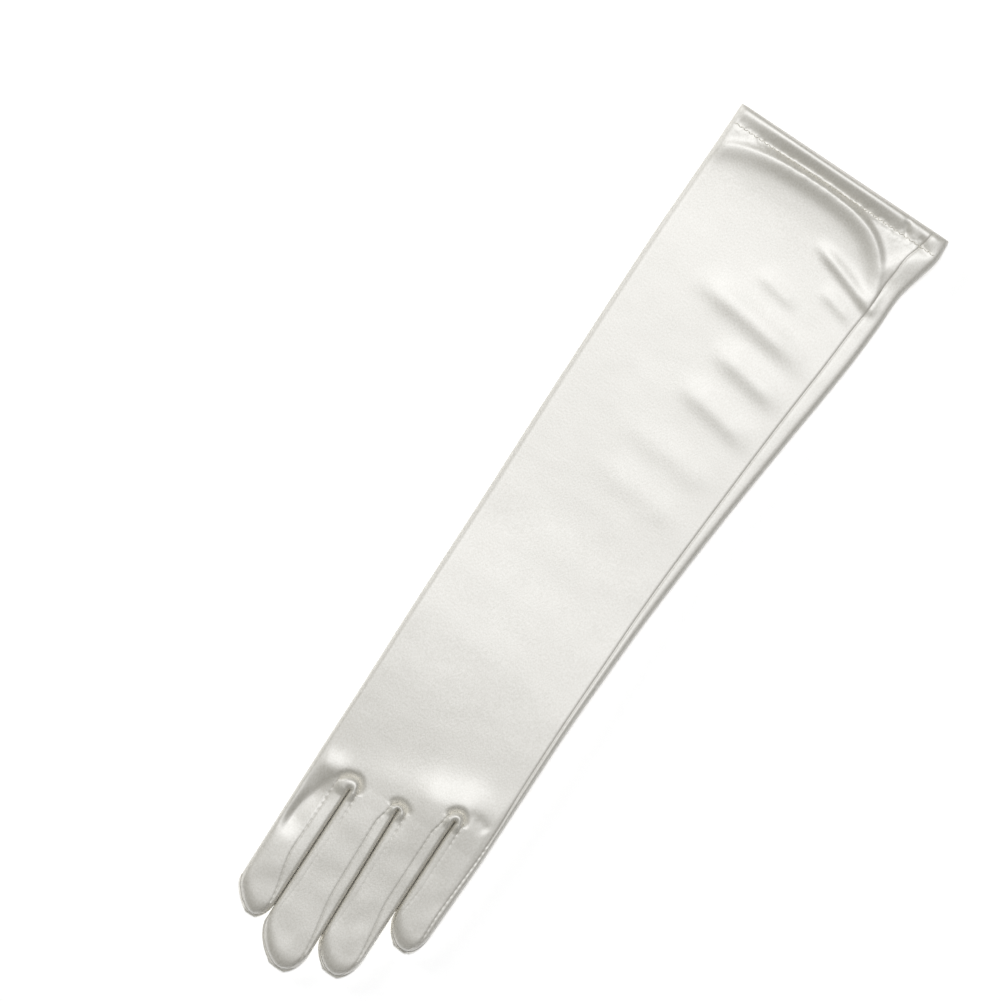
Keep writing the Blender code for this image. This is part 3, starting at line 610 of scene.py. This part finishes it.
def finger_shares(rows):
    """Shares of a finger's length for its rows, closer at the crotch and the tip."""
    return [mix(i / rows, (1 - math.cos(math.pi * i / rows)) / 2, SPREAD_ENDS) for i in range(rows + 1)]


def arm_shares():
    """Shares of the way from the fingers to the cuff for the arm's rows, close at both ends."""
    along = [0.0]
    while along[-1] < ARM_LENGTH:
        here, to_cuff = along[-1], ARM_LENGTH - along[-1]
        widest = mix(HAND_STEP, ARM_STEP, smooth((here - HAND_STEPS_END) / HAND_STEPS_END))
        step = min(FIRST_STEP + here * STEP_GROWTH, widest)
        along.append(here + mix(HEM_STEP, step, smooth((to_cuff - HEM_STEPS_FROM) / HEM_STEPS_FADE)))
    return [distance / along[-1] for distance in along]


BACK_FINGER_SHARES = finger_shares(96)
BACK_ARM_SHARES = arm_shares()


def tip_outward(k, row, point):
    """The way that a fingertip swells out from a point of its last row, less near the glove's outline."""
    share = (point.x - row[0].x) / (row[-1].x - row[0].x)
    from_outline = share if k == 0 else 1 - share if k == LAST else 1.0
    return Vector((2 * share - 1, -1.0)).normalized() * smooth(from_outline / TIP_SWELL_FROM)


def tip_cap(k, end_row, tops):
    """Rows that round a face off at the fingertip, to its widest. tops are the back's heights there."""
    rows = []
    for step in range(1, TIP_STEPS + 1):
        angle = math.radians(90 * (1 - step / TIP_STEPS))
        row = []
        for point, top in zip(end_row, tops):
            half = (top - WALL_HALF) / 2
            out = tip_outward(k, end_row, point) * math.cos(angle) * half
            z = mix(WALL_HALF + half, point.z, math.sin(angle))
            row.append(Vector((point.x + out.x, point.y + out.y, z)))
        rows.append(row)
    return rows


def back_side_point(k, start, edge, out):
    """A point of a finger's side. out is 0 at the face and 1 at the side's widest."""
    x = mix(start.x, edge, out)
    return Vector((x, start.y, beside_gap_z(x, start.y, abs(edge - x), tip_depth(k, x, start.y))))


def finger_patches(k, face, tops, shares, boundary, side_point):
    """A face with its rounded tip, and its sides from the fourchettes' ends to the tip."""
    cap = tip_cap(k, face[-1], tops)
    patches = [face + cap]
    for side, column in ((-1, 0), (1, -1)):
        if is_outer(k, side):
            continue
        rows = []
        for share in shares:
            if STRIP_STOPS_AT <= share < 1:
                start = boundary(k, side, share)
                edge = side_edge(k, side, start.y)
                rows.append([side_point(k, start, edge, out) for out in SIDE_OUTS])
        rows.append([face[-1][column]] + [row[column] for row in cap])
        patches.append(rows)
    return patches


def knuckle_places():
    """The places across the hand where the fingers start, round the starts of the gaps."""
    places = []
    for k in range(len(FINGERS)):
        places += [(x, y) for x, y, _ in face_row(k, 0.0)]
        if k < LAST:
            for turn in range(1, CROTCH_COLUMNS):
                towards = crotch_direction(turn / CROTCH_COLUMNS)
                reach = crotch_reach(GAPS[k], towards)
                places.append(tuple(CROTCHES[k] + towards * (reach + FINGER_GAP / 2)))
    return places


def arm_places(share, knuckles, left_of, right_of):
    """The places across one row of the arm."""
    row = []
    n_left, n_right = len(left_of(0.0)), len(right_of(0.0))
    count = len(knuckles)
    for i, (start_x, start_y) in enumerate(knuckles):
        y = mix(start_y, CUFF_Y - CUFF_SLANT * (1 - i / (count - 1)), share)
        left, right = outer_edge(-1, y), outer_edge(1, y)
        if i < n_left:
            x = left + left_of(y)[i]
        elif i >= count - n_right:
            x = right - right_of(y)[i - count + n_right]
        else:
            start_left = outer_edge(-1, start_y) + left_of(start_y)[-1]
            start_right = outer_edge(1, start_y) - right_of(start_y)[0]
            even = (i - n_left + 1) / (count - n_left - n_right + 1)
            begun = (start_x - start_left) / (start_right - start_left)
            across = mix(begun, even, smooth(share * ARM_SPREAD))
            x = mix(left + left_of(y)[-1], right - right_of(y)[0], across)
        row.append((x, y))
    return row


def arm_back_point(x, y):
    z = beside_gap_z(x, y, gap_distance(x, y)) + hand_seams_z(x, y)
    from_seam = outer_edge(1, y) - x - side_seam_inset(y)
    return Vector((x, y, z + valley(from_seam, SEAM_DEPTH, SEAM_HALF_WIDTH)))


MERGED_WITHIN = 0.00002


def grid_faces(first, rows, width, closed):
    """The faces of a grid of points that starts at the first one. A closed grid goes round."""
    faces = []
    for r in range(rows - 1):
        for c in range(width if closed else width - 1):
            after = (c + 1) % width
            corners = (r * width + c, r * width + after, (r + 1) * width + after, (r + 1) * width + c)
            faces.append([first + i for i in corners])
    return faces


def add_piece(name, points, faces, material):
    """Makes an object, with its points joined where they meet and its faces pointing out."""
    mesh = bpy.data.meshes.new(name)
    mesh.from_pydata(points, [], faces)
    build = bmesh.new()
    build.from_mesh(mesh)
    bmesh.ops.remove_doubles(build, verts=build.verts, dist=MERGED_WITHIN)
    bmesh.ops.recalc_face_normals(build, faces=build.faces)
    build.to_mesh(mesh)
    build.free()
    mesh.shade_smooth()
    mesh.materials.append(material)
    piece = bpy.data.objects.new(name, mesh)
    bpy.context.scene.collection.objects.link(piece)
    return piece


def cloth(name, patches, material, closed=False):
    """Joins grids of points into one sheet of cloth."""
    points, faces = [], []
    for patch in patches:
        faces += grid_faces(len(points), len(patch), len(patch[0]), closed)
        points += [point for row in patch for point in row]
    return add_piece(name, points, faces, material)


def colour(hex_code):
    """An sRGB hex code as a linear colour with alpha."""
    parts = [int(hex_code[i : i + 2], 16) / 255 for i in (1, 3, 5)]
    return [part / 12.92 if part <= 0.04045 else ((part + 0.055) / 1.055) ** 2.4 for part in parts] + [1.0]


def add_node(material, kind, settings=None, inputs=None, links=()):
    """Adds a node with its settings and input values. A link is (from node, its output, input of this)."""
    node = material.node_tree.nodes.new(kind)
    for name, value in (settings or {}).items():
        setattr(node, name, value)
    for name, value in (inputs or {}).items():
        node.inputs[name].default_value = value
    for source, output, socket in links:
        material.node_tree.links.new(source.outputs[output], node.inputs[socket])
    return node


GRAIN_SIZE = (0.0005, 0.000909, 0.0005)
GLOSS_PATCH = 0.01667


# Polyester and elastane satin, woven with long floats along the glove: a smooth face whose shine follows its
# slopes, with a fine grain where the floats end. The floats are 0.1 mm apart, and the grain is drawn 0.5 mm
# wide and 0.9 mm long, to show. Patches about 17 mm wide are a shade glossier, as on pressed cloth. The weft
# crosses the glove, so the shine is drawn out the same way all over it.
def woven_satin(name, face_hex, grain_hex):
    satin = bpy.data.materials.new(name)
    satin.use_nodes = True
    shader = satin.node_tree.nodes["Principled BSDF"]
    place = add_node(satin, "ShaderNodeTexCoord")
    stretched = add_node(
        satin, "ShaderNodeMapping",
        inputs={"Scale": [1 / size for size in GRAIN_SIZE]},
        links=[(place, "Object", "Vector")],
    )
    grain = add_node(
        satin, "ShaderNodeTexNoise",
        inputs={"Scale": 1.0, "Detail": 3.0, "Roughness": 0.6},
        links=[(stretched, "Vector", "Vector")],
    )
    patches = add_node(
        satin, "ShaderNodeTexNoise",
        inputs={"Scale": 1 / GLOSS_PATCH, "Detail": 2.0, "Roughness": 0.5},
        links=[(place, "Object", "Vector")],
    )
    speckle = add_node(
        satin, "ShaderNodeMapRange",
        inputs={"From Min": 0.30, "From Max": 0.70, "To Min": 0.0, "To Max": 1.0},
        links=[(grain, "Fac", "Value")],
    )
    tint = add_node(
        satin, "ShaderNodeMix", settings={"data_type": "RGBA"}, links=[(speckle, "Result", "Factor")]
    )
    tint.inputs["A"].default_value = colour(grain_hex)
    tint.inputs["B"].default_value = colour(face_hex)
    gloss = add_node(
        satin, "ShaderNodeMapRange",
        inputs={"From Min": 0.3, "From Max": 0.7, "To Min": 0.515, "To Max": 0.527},
        links=[(patches, "Fac", "Value")],
    )
    relief = add_node(
        satin, "ShaderNodeBump",
        inputs={"Strength": 0.7, "Distance": 0.00006},
        links=[(grain, "Fac", "Height")],
    )
    weft = add_node(satin, "ShaderNodeCombineXYZ", inputs={"X": 1.0})
    links = satin.node_tree.links
    links.new(tint.outputs["Result"], shader.inputs["Base Color"])
    links.new(gloss.outputs["Result"], shader.inputs["Roughness"])
    links.new(relief.outputs["Normal"], shader.inputs["Normal"])
    links.new(weft.outputs["Vector"], shader.inputs["Tangent"])
    shader.inputs["IOR"].default_value = 2.5
    shader.inputs["Specular IOR Level"].default_value = 1.0
    shader.inputs["Anisotropic"].default_value = 0.3
    shader.inputs["Sheen Weight"].default_value = 0.12
    shader.inputs["Sheen Roughness"].default_value = 0.5
    return satin


ivory_satin = woven_satin("ivory woven satin", "#F5F1E6", "#D6D1C2")

back_patches = []
for k in range(len(FINGERS)):
    face = []
    for share in BACK_FINGER_SHARES:
        face.append([finger_back_point(k, x, y, dip) for x, y, dip in face_row(k, share)])
    tops = [point.z for point in face[-1]]
    back_patches += finger_patches(k, face, tops, BACK_FINGER_SHARES, face_boundary, back_side_point)

knuckles = knuckle_places()
arm_back = []
for share in BACK_ARM_SHARES:
    places = arm_places(share, knuckles, left_insets, right_insets)
    arm_back.append([arm_back_point(x, y) for x, y in places])
back_patches.append(arm_back)
trank_back = cloth("trank_back_satin", back_patches, ivory_satin)
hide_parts("trank_back")
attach(trank_back, "root")

# Thumb
# A pouch of the same satin, cut on its own and sewn into an oval hole in the palm. It is folded flat under
# the hand, so only its edge shows, from low down on the index side.
THUMB_LENGTH = 0.066
THUMB_LEAN = 37.0
THUMB_BASE = 0.053
THUMB_TIP = 0.0145
THUMB_TAPER = 0.62
THUMB_END_ROUND = 0.6
THUMB_END_WIDTH = 0.45
THUMB_FROM_EDGE = 0.0130
THUMB_FROM_KNUCKLES = 0.0640
THUMB_ROWS = 40
THUMB_COLUMNS = 30
THUMB_TOP = 0.0023
THUMB_BOTTOM = 0.0002
THUMB_EDGE = 0.0030


def thumb_sides(share):
    """The thumb's sides at a share of its length: the one near the fingers, then the one near the cuff."""
    lean = math.radians(THUMB_LEAN)
    y = KNUCKLE_Y + THUMB_FROM_KNUCKLES
    base = Vector((outer_edge(-1, y) + THUMB_FROM_EDGE, y))
    axis = Vector((math.cos(lean), -math.sin(lean)))
    turned = smooth(share)
    across = Vector((math.sin(lean) * turned, mix(1.0, math.cos(lean), turned))).normalized()
    middle = base + axis * share * THUMB_LENGTH
    end = (1 - share) * THUMB_LENGTH / (THUMB_TIP * THUMB_END_ROUND)
    half = mix(THUMB_BASE, THUMB_TIP, share**THUMB_TAPER) / 2 * mix(THUMB_END_WIDTH, 1.0, rounded(end))
    return middle - across * half, middle + across * half


THUMB_SIDES = [thumb_sides(i / THUMB_ROWS) for i in range(THUMB_ROWS + 1)]
THUMB_OUTLINE = [near for near, _ in THUMB_SIDES[::2]] + [far for _, far in reversed(THUMB_SIDES[::2])]


def inside_depth(outline, x, y):
    """Distance from a point to the outline, positive inside it."""
    point = Vector((x, y))
    nearest, inside = math.inf, False
    for a, b in zip(outline, outline[1:] + outline[:1]):
        run = b - a
        share = clamp((point - a).dot(run) / run.length_squared)
        nearest = min(nearest, (a + run * share - point).length)
        if (a.y > y) != (b.y > y) and x < a.x + (y - a.y) / (b.y - a.y) * run.x:
            inside = not inside
    return nearest if inside else -nearest


def thumb_face(face_z):
    """The thumb's upper or lower face, at a height that it reaches inside its rounded edge."""
    grid = []
    for near, far in THUMB_SIDES:
        row = []
        for column in range(THUMB_COLUMNS + 1):
            place = near.lerp(far, (1 - math.cos(math.pi * column / THUMB_COLUMNS)) / 2)
            swell = rounded(inside_depth(THUMB_OUTLINE, place.x, place.y) / THUMB_EDGE)
            row.append(Vector((place.x, place.y, mix((THUMB_TOP + THUMB_BOTTOM) / 2, face_z, swell))))
        grid.append(row)
    return grid


thumb = cloth("thumb_satin", [thumb_face(THUMB_TOP), thumb_face(THUMB_BOTTOM)], ivory_satin)
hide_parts("thumb")
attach(thumb, "root")

# Palm of the trank
# The same cloth as the back, folded round the index edge and closed by the side seam. It lies flat on the
# surface and rises over the folded thumb.
PALM_REST = 0.00015
PALM_OVER_THUMB = 0.0030
PALM_MARGIN = 0.004
PALM_SLOPE = 0.007
UNDER_REACH = 0.0028
UNDER_STEPS = (0.0, 0.03, 0.10, 0.22, 0.40, 0.65, 1.0)  # shares of UNDER_REACH
STRIP_UNDER = 0.0032
TIP_TAPER_FROM = 0.6
PALM_COLUMNS = 12
PALM_FINGER_SHARES = finger_shares(60)
PALM_ARM_ROWS = 150


def palm_z(x, y):
    outside = max(0.0, -inside_depth(THUMB_OUTLINE, x, y) - PALM_MARGIN)
    return PALM_REST + PALM_OVER_THUMB * smooth(1 - outside / PALM_SLOPE)


def strip_under(share):
    """Width of a fourchette under a finger, at a share of the finger's length."""
    return mix(STRIP_UNDER, TIP_FOLD / 2, smooth((share - TIP_TAPER_FROM) / (1 - TIP_TAPER_FROM)))


def palm_boundary(k, side, share):
    """Where the palm side of a finger ends: at the fourchette's seam, or at the glove's outline."""
    y = finger_y(k, side, share)
    edge = side_edge(k, side, y)
    return Vector((edge if is_outer(k, side) else edge - side * strip_under(share), y))


def under_insets(_):
    return [share * UNDER_REACH for share in UNDER_STEPS]


def palm_face_row(k, share):
    first, last = palm_boundary(k, -1, share), palm_boundary(k, 1, share)
    width = last.x - first.x
    reach = min(UNDER_REACH, SIDE_SHARE_MOST * width)
    left = [step * reach for step in UNDER_STEPS] if k == 0 else [0.0]
    right = [step * reach for step in UNDER_STEPS] if k == LAST else [0.0]
    xs = [first.x + inset for inset in left]
    inner = xs[-1], last.x - right[-1]
    xs += [mix(*inner, i / PALM_COLUMNS) for i in range(1, PALM_COLUMNS)]
    xs += [last.x - inset for inset in reversed(right)]
    row = []
    for x in xs:
        y = mix(first.y, last.y, (x - first.x) / width)
        from_outline = math.inf
        if k == 0:
            from_outline, edge = x - first.x, first
        if k == LAST and last.x - x < from_outline:
            from_outline, edge = last.x - x, last
        z = palm_z(x, y)
        if from_outline < reach:
            z = mix(finger_back_point(k, edge.x, edge.y, 0.0).z, z, rounded(from_outline / reach))
        row.append(Vector((x, y, z)))
    return row


def palm_side_point(_, start, edge, out):
    z = mix(palm_z(start.x, start.y), SIDE_LOW, 1 - rounded(1 - out))
    return Vector((mix(start.x, edge, out), start.y, z))


def arm_palm_point(x, y):
    """A point of the arm's palm side, which turns up to the back at both edges."""
    left, right = outer_edge(-1, y), outer_edge(1, y)
    from_outline = min(x - left, right - x)
    widest = back_z(left if x - left < right - x else right, y)
    return Vector((x, y, mix(widest, palm_z(x, y), rounded(from_outline / UNDER_REACH))))


palm_patches, palm_knuckles = [], []
for k in range(len(FINGERS)):
    face = [palm_face_row(k, share) for share in PALM_FINGER_SHARES]
    tops = [finger_back_point(k, point.x, point.y, 0.0).z for point in face[-1]]
    palm_patches += finger_patches(k, face, tops, PALM_FINGER_SHARES, palm_boundary, palm_side_point)
    palm_knuckles += [(point.x, point.y) for point in face[0]]
    if k < LAST:
        for turn in range(1, CROTCH_COLUMNS):
            towards = crotch_direction(turn / CROTCH_COLUMNS)
            palm_knuckles.append(tuple(CROTCHES[k] + towards * (STRIP_UNDER + FINGER_GAP / 2)))
palm_arm = []
for row in range(PALM_ARM_ROWS + 1):
    share = row / PALM_ARM_ROWS
    places = arm_places(share, palm_knuckles, under_insets, lambda y: under_insets(y)[::-1])
    palm_arm.append([arm_palm_point(x, y) for x, y in places])
palm_patches.append(palm_arm)
trank_palm = cloth("trank_palm_satin", palm_patches, ivory_satin)
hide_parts("trank_palm")
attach(trank_palm, "root")

# Fourchettes
# The strips of satin between the fingers. Each runs from one fingertip round the start of the gap to the
# next, sewn to the back and to the palm, and puffs up at the start of the gap, where it is gathered.
LEG_SHARES = [share for share in finger_shares(80) if share < STRIP_STOPS_AT] + [STRIP_STOPS_AT]
STRIP_TOP = (0.86, 0.72, 0.58, 0.45, 0.33, 0.22, 0.13, 0.06, 0.02, 0.0)
STRIP_BELOW = (0.12, 0.35, 0.65, 1.0)
STRIP_ROOM = 0.003  # width of a fourchette below which its columns at the seam are squeezed
ARC_TURNS = 30
PAD_PUFF = 0.0010
PUFF_FADE = 0.004
LOOP_INNER_HALF_WIDTH = 0.0008


def strip_insets(reach, under):
    """Insets from the gap across a fourchette: from the back's seam to its side, and on to the palm's."""
    squeeze = min(1.0, reach / STRIP_ROOM)
    top = [reach - step * squeeze for step in SEAM_STEPS]
    return top + [top[-1] * share for share in STRIP_TOP], [under * share for share in STRIP_BELOW]


def strip_row(place_at, top_z, reach, under, seam_depth=1.0):
    above, below = strip_insets(reach, under)
    row = []
    for inset in above:
        place = place_at(inset)
        z = top_z(place, inset) + sewn_valley(reach - inset, place.y) * seam_depth
        row.append(Vector((place.x, place.y, max(z, SIDE_LOW))))
    for inset in below:
        place = place_at(inset)
        z = mix(SIDE_LOW, palm_z(place.x, place.y), rounded(inset / under))
        row.append(Vector((place.x, place.y, z)))
    return row


def pad_puff(inset, reach):
    """How far the gathered cloth puffs up at a place across a fourchette."""
    return PAD_PUFF * math.sin(math.pi * clamp(inset / reach))


def leg_row(gap, k, side, share):
    """A row across a fourchette beside a finger."""
    y = finger_y(k, side, share)
    edge = side_edge(k, side, y)
    reach = strip_reach(gap, -side, y, share)
    puffed = 1 - smooth((crotch_point(gap).y - y) / PUFF_FADE)

    def place_at(inset):
        return Vector((edge - side * inset, y))

    def top_z(place, inset):
        height = beside_gap_z(place.x, place.y, inset, tip_depth(k, place.x, place.y))
        return height + pad_puff(inset, reach) * puffed

    seam_depth = left_seam_depth(k, y) if side < 0 else 1.0
    return strip_row(place_at, top_z, reach, strip_under(share), seam_depth)


def arc_row(gap, turn):
    """A row across a fourchette round the start of its gap."""
    towards = crotch_direction(turn)
    reach = crotch_reach(gap, towards)

    def place_at(inset):
        return crotch_point(gap) + towards * (inset + FINGER_GAP / 2)

    def top_z(place, inset):
        loop = valley(reach - inset, LOOP_DEPTH, LOOP_INNER_HALF_WIDTH) * loop_share(towards)
        return beside_gap_z(place.x, place.y, inset) + pad_puff(inset, reach) + loop

    return strip_row(place_at, top_z, reach, STRIP_UNDER)


for k, gap in enumerate(GAPS):
    down_finger = [leg_row(gap, k, 1, share) for share in LEG_SHARES]
    down_next = [leg_row(gap, k + 1, -1, share) for share in LEG_SHARES]
    arc = [arc_row(gap, turn / ARC_TURNS) for turn in range(1, ARC_TURNS)]
    strip = cloth("fourchette_satin_" + gap.name, [down_finger[::-1] + arc + down_next], ivory_satin)
    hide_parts("fourchette_" + gap.name)
    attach(strip, "root")

# Cuff hem
# The end of the arm, of the same satin, turned in once all round. It is 10 mm deep and is caught down by a
# row of stitches 8 mm from the edge, which shows on the outside.
HEM_DEPTH = 0.0098
HEM_ROLL = 0.0005
HEM_COLUMNS = 150
HEM_LAP = 0.0012  # how far from the cuff's edge the hem starts, just under the arm's cloth
HEM_LAP_UNDER = 0.00012
HEM_ROLL_UNDER = 0.00006
HEM_ROLL_OUT = 0.0002
HEM_ROLL_STEPS = 8
HEM_INSIDE_FROM = 0.0003
HEM_INSIDE_ROWS = 14
HEM_WAVE = 0.00015


def cuff_ring(up):
    """The outside of the cuff at a distance from its edge, all round."""
    ring = []
    for on_back in (True, False):
        for i in range(HEM_COLUMNS):
            even = (1 - math.cos(math.pi * i / HEM_COLUMNS)) / 2
            even = even if on_back else 1 - even
            y = CUFF_Y - CUFF_SLANT * (1 - even) - up
            x = mix(outer_edge(-1, y), outer_edge(1, y), even)
            ring.append(Vector((x, y, back_z(x, y))) if on_back else arm_palm_point(x, y))
    return ring


def inset_ring(up, distance):
    """A ring of the cuff moved inwards by a distance, square to itself."""
    ring = cuff_ring(up)
    moved = []
    for i, point in enumerate(ring):
        run = ring[(i + 1) % len(ring)] - ring[i - 1]
        moved.append(point + Vector((run.z, 0.0, -run.x)).normalized() * distance)
    return moved


hem_rings = [inset_ring(HEM_LAP, HEM_LAP_UNDER)]
for step in range(HEM_ROLL_STEPS + 1):
    angle = math.pi * step / HEM_ROLL_STEPS
    up = HEM_ROLL * (1 - math.sin(angle)) - HEM_ROLL_OUT
    hem_rings.append(inset_ring(up, HEM_ROLL_UNDER + HEM_ROLL * (1 - math.cos(angle))))
for step in range(1, HEM_INSIDE_ROWS + 1):
    up = HEM_INSIDE_FROM + HEM_DEPTH * step / HEM_INSIDE_ROWS
    hem_rings.append(inset_ring(up, 2 * HEM_ROLL + HEM_WAVE * math.sin(step)))
cuff_hem = cloth("cuff_hem_satin", [hem_rings], ivory_satin, closed=True)
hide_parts("cuff_hem")
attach(cuff_hem, "root")

# Hem stitches
# A zigzag of polyester thread, eight points to the centimetre, that catches the turned hem to the arm all
# round. The thread is a little glossier than the satin, so it shows as a line of bright points.
THREAD_RADIUS = 0.00017
THREAD_ARCH = 0.9  # share of its radius that the middle of a stitch stands up
THREAD_SIDES = 6
THREAD_RINGS = (  # share of the stitch's length, share of the thread's radius
    (0.0, 0.25), (0.12, 0.8), (0.35, 1.0), (0.65, 1.0), (0.88, 0.8), (1.0, 0.25),
)
STITCH_PITCH = 0.0012
STITCH_REACH = 0.9  # share of the pitch that a stitch spans
STITCH_SWING = 0.00035
STITCHES_FROM_EDGE = 0.002
STRAND_SPACING = 0.0003927
STRAND_SLANT = 38.0
WAVE_PER_METRE = 20 / math.tau  # the wave texture's lines to a metre at scale 1


def sewn_thread(name, ends, material):
    """One stitch of thread between each pair of points, round and drawn in at its ends."""
    points, faces = [], []
    for start, end in ends:
        run = end - start
        sideways = run.cross(Vector((0, 0, 1))).normalized()
        upward = sideways.cross(run).normalized()
        first = len(points)
        for along, wide in THREAD_RINGS:
            arch = upward * THREAD_RADIUS * THREAD_ARCH * math.sin(math.pi * along)
            for side in range(THREAD_SIDES):
                angle = math.tau * side / THREAD_SIDES
                ring = (sideways * math.cos(angle) + upward * math.sin(angle)) * THREAD_RADIUS * wide
                points.append(start + run * along + arch + ring)
        faces += grid_faces(first, len(THREAD_RINGS), THREAD_SIDES, True)
        last = first + (len(THREAD_RINGS) - 1) * THREAD_SIDES
        faces += [[end_ring + i for i in range(THREAD_SIDES)] for end_ring in (first, last)]
    return add_piece(name, points, faces, material)


# Filament polyester thread, twisted: its strands cross it at a slant every 0.4 mm. Its colour is painted
# lighter on each strand, a painted highlight where it catches the light, and darker in the grooves between
# them, painted shade.
def twisted_thread(name, painted_groove_shade_hex, painted_strand_highlight_hex):
    thread = bpy.data.materials.new(name)
    thread.use_nodes = True
    shader = thread.node_tree.nodes["Principled BSDF"]
    place = add_node(thread, "ShaderNodeTexCoord")
    slanted = add_node(
        thread, "ShaderNodeMapping",
        inputs={"Rotation": (0, 0, math.radians(STRAND_SLANT))},
        links=[(place, "Object", "Vector")],
    )
    strands = add_node(
        thread, "ShaderNodeTexWave",
        inputs={"Scale": 1 / STRAND_SPACING / WAVE_PER_METRE, "Distortion": 0.6},
        links=[(slanted, "Vector", "Vector")],
    )
    tint = add_node(
        thread, "ShaderNodeMix", settings={"data_type": "RGBA"}, links=[(strands, "Fac", "Factor")]
    )
    # A is painted shade in the grooves and B is a painted highlight on the strands.
    tint.inputs["A"].default_value = colour(painted_groove_shade_hex)
    tint.inputs["B"].default_value = colour(painted_strand_highlight_hex)
    relief = add_node(
        thread, "ShaderNodeBump",
        inputs={"Strength": 0.4, "Distance": 0.00003},
        links=[(strands, "Fac", "Height")],
    )
    thread.node_tree.links.new(tint.outputs["Result"], shader.inputs["Base Color"])
    thread.node_tree.links.new(relief.outputs["Normal"], shader.inputs["Normal"])
    shader.inputs["Roughness"].default_value = 0.38
    return thread


# The darker colour is painted groove shade and the lighter one is a painted strand highlight.
ivory_thread = twisted_thread("ivory twisted polyester thread", "#E2DDCF", "#F7F4EA")

hem_stitches = []
hem_left = outer_edge(-1, CUFF_Y - HEM_STITCHED) + STITCHES_FROM_EDGE
hem_right = outer_edge(1, CUFF_Y - HEM_STITCHED) - STITCHES_FROM_EDGE
for surface_z in (back_z, palm_z):
    for i in range(int((hem_right - hem_left) / STITCH_PITCH)):
        x, swing = hem_left + i * STITCH_PITCH, STITCH_SWING if i % 2 else -STITCH_SWING
        ends = []
        for end_x, end_swing in ((x, swing), (x + STITCH_PITCH * STITCH_REACH, -swing)):
            end_y = hem_stitch_y(end_x) + end_swing
            ends.append(Vector((end_x, end_y, surface_z(end_x, end_y))))
        hem_stitches.append(ends)
hem_thread = sewn_thread("hem_stitches", hem_stitches, ivory_thread)
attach(hem_thread, "root")

# Studio
# A white table as in a catalogue picture: one soft light nearly overhead, towards the cuff, a weak one low at
# the index side, and the camera straight above. The board glows a little, to come out near white. That washes
# the shade out of it, so a strip of darker board under each gap stands for the shade of the fingers.
TABLE_HALF = 3.0
TABLE_Z = -0.0001
TABLE_GLOW = 0.43
SHADE_HALF_WIDTH = 0.002
SHADE_Z = -0.00005
SHADE_ENDS_Y = (-0.170, -0.169, -0.145)  # where the fingers beside each gap part
table_finish = bpy.data.materials.new("white painted board")
table_finish.use_nodes = True
board = table_finish.node_tree.nodes["Principled BSDF"]
board.inputs["Base Color"].default_value = colour("#FBFBFB")
board.inputs["Roughness"].default_value = 0.9
board.inputs["Emission Color"].default_value = colour("#FFFFFF")
board.inputs["Emission Strength"].default_value = TABLE_GLOW
shaded_board = bpy.data.materials.new("white painted board in shade")
shaded_board.use_nodes = True
shaded_board.node_tree.nodes["Principled BSDF"].inputs["Base Color"].default_value = colour("#C9C7C2")
table_mesh = bpy.data.meshes.new("table")
table_corners = [(x * TABLE_HALF, y * TABLE_HALF, TABLE_Z) for x, y in ((-1, -1), (1, -1), (1, 1), (-1, 1))]
for gap, end_y in zip(GAPS, SHADE_ENDS_Y):
    start_y = crotch_point(gap).y
    for y, side in ((start_y, -1), (start_y, 1), (end_y, 1), (end_y, -1)):
        table_corners.append((gap_x(gap, y) + side * SHADE_HALF_WIDTH, y, SHADE_Z))
table_mesh.from_pydata(table_corners, [], [tuple(range(i, i + 4)) for i in range(0, len(table_corners), 4)])
table_mesh.materials.append(table_finish)
table_mesh.materials.append(shaded_board)
for shade in table_mesh.polygons[1:]:
    shade.material_index = 1
table = bpy.data.objects.new("table", table_mesh)
bpy.context.scene.collection.objects.link(table)

CAMERA_TURN = 35.0
CAMERA_PLACE = (-0.0369, 0.0089, 2.4)
CAMERA_LENS = 222.8
camera_data = bpy.data.cameras.new("overhead camera")
camera_data.lens = CAMERA_LENS
camera = bpy.data.objects.new("overhead camera", camera_data)
camera.location = CAMERA_PLACE
camera.rotation_euler = (0, 0, math.radians(CAMERA_TURN))
bpy.context.scene.collection.objects.link(camera)
bpy.context.scene.camera = camera

SoftLight = namedtuple("SoftLight", "name bearing elevation distance size power")
SOFT_LIGHTS = (
    SoftLight("overhead light", 115.0, 78.0, 4.0, 1.2, 78.0),
    SoftLight("side light", 165.0, 22.0, 2.0, 0.8, 9.0),
)
for light in SOFT_LIGHTS:
    data = bpy.data.lights.new(light.name, "AREA")
    data.size = light.size
    data.energy = light.power
    lamp = bpy.data.objects.new(light.name, data)
    bearing, elevation = math.radians(light.bearing), math.radians(light.elevation)
    level = math.cos(elevation)
    towards = Vector((math.cos(bearing) * level, math.sin(bearing) * level, math.sin(elevation)))
    lamp.location = towards * light.distance
    lamp.rotation_euler = (-lamp.location).to_track_quat("-Z", "Y").to_euler()
    bpy.context.scene.collection.objects.link(lamp)

world = bpy.data.worlds.new("pale studio")
world.use_nodes = True
world.node_tree.nodes["Background"].inputs["Color"].default_value = colour("#F4F6F8")
world.node_tree.nodes["Background"].inputs["Strength"].default_value = 0.10
bpy.context.scene.world = world
bpy.context.scene.view_settings.view_transform = "Standard"
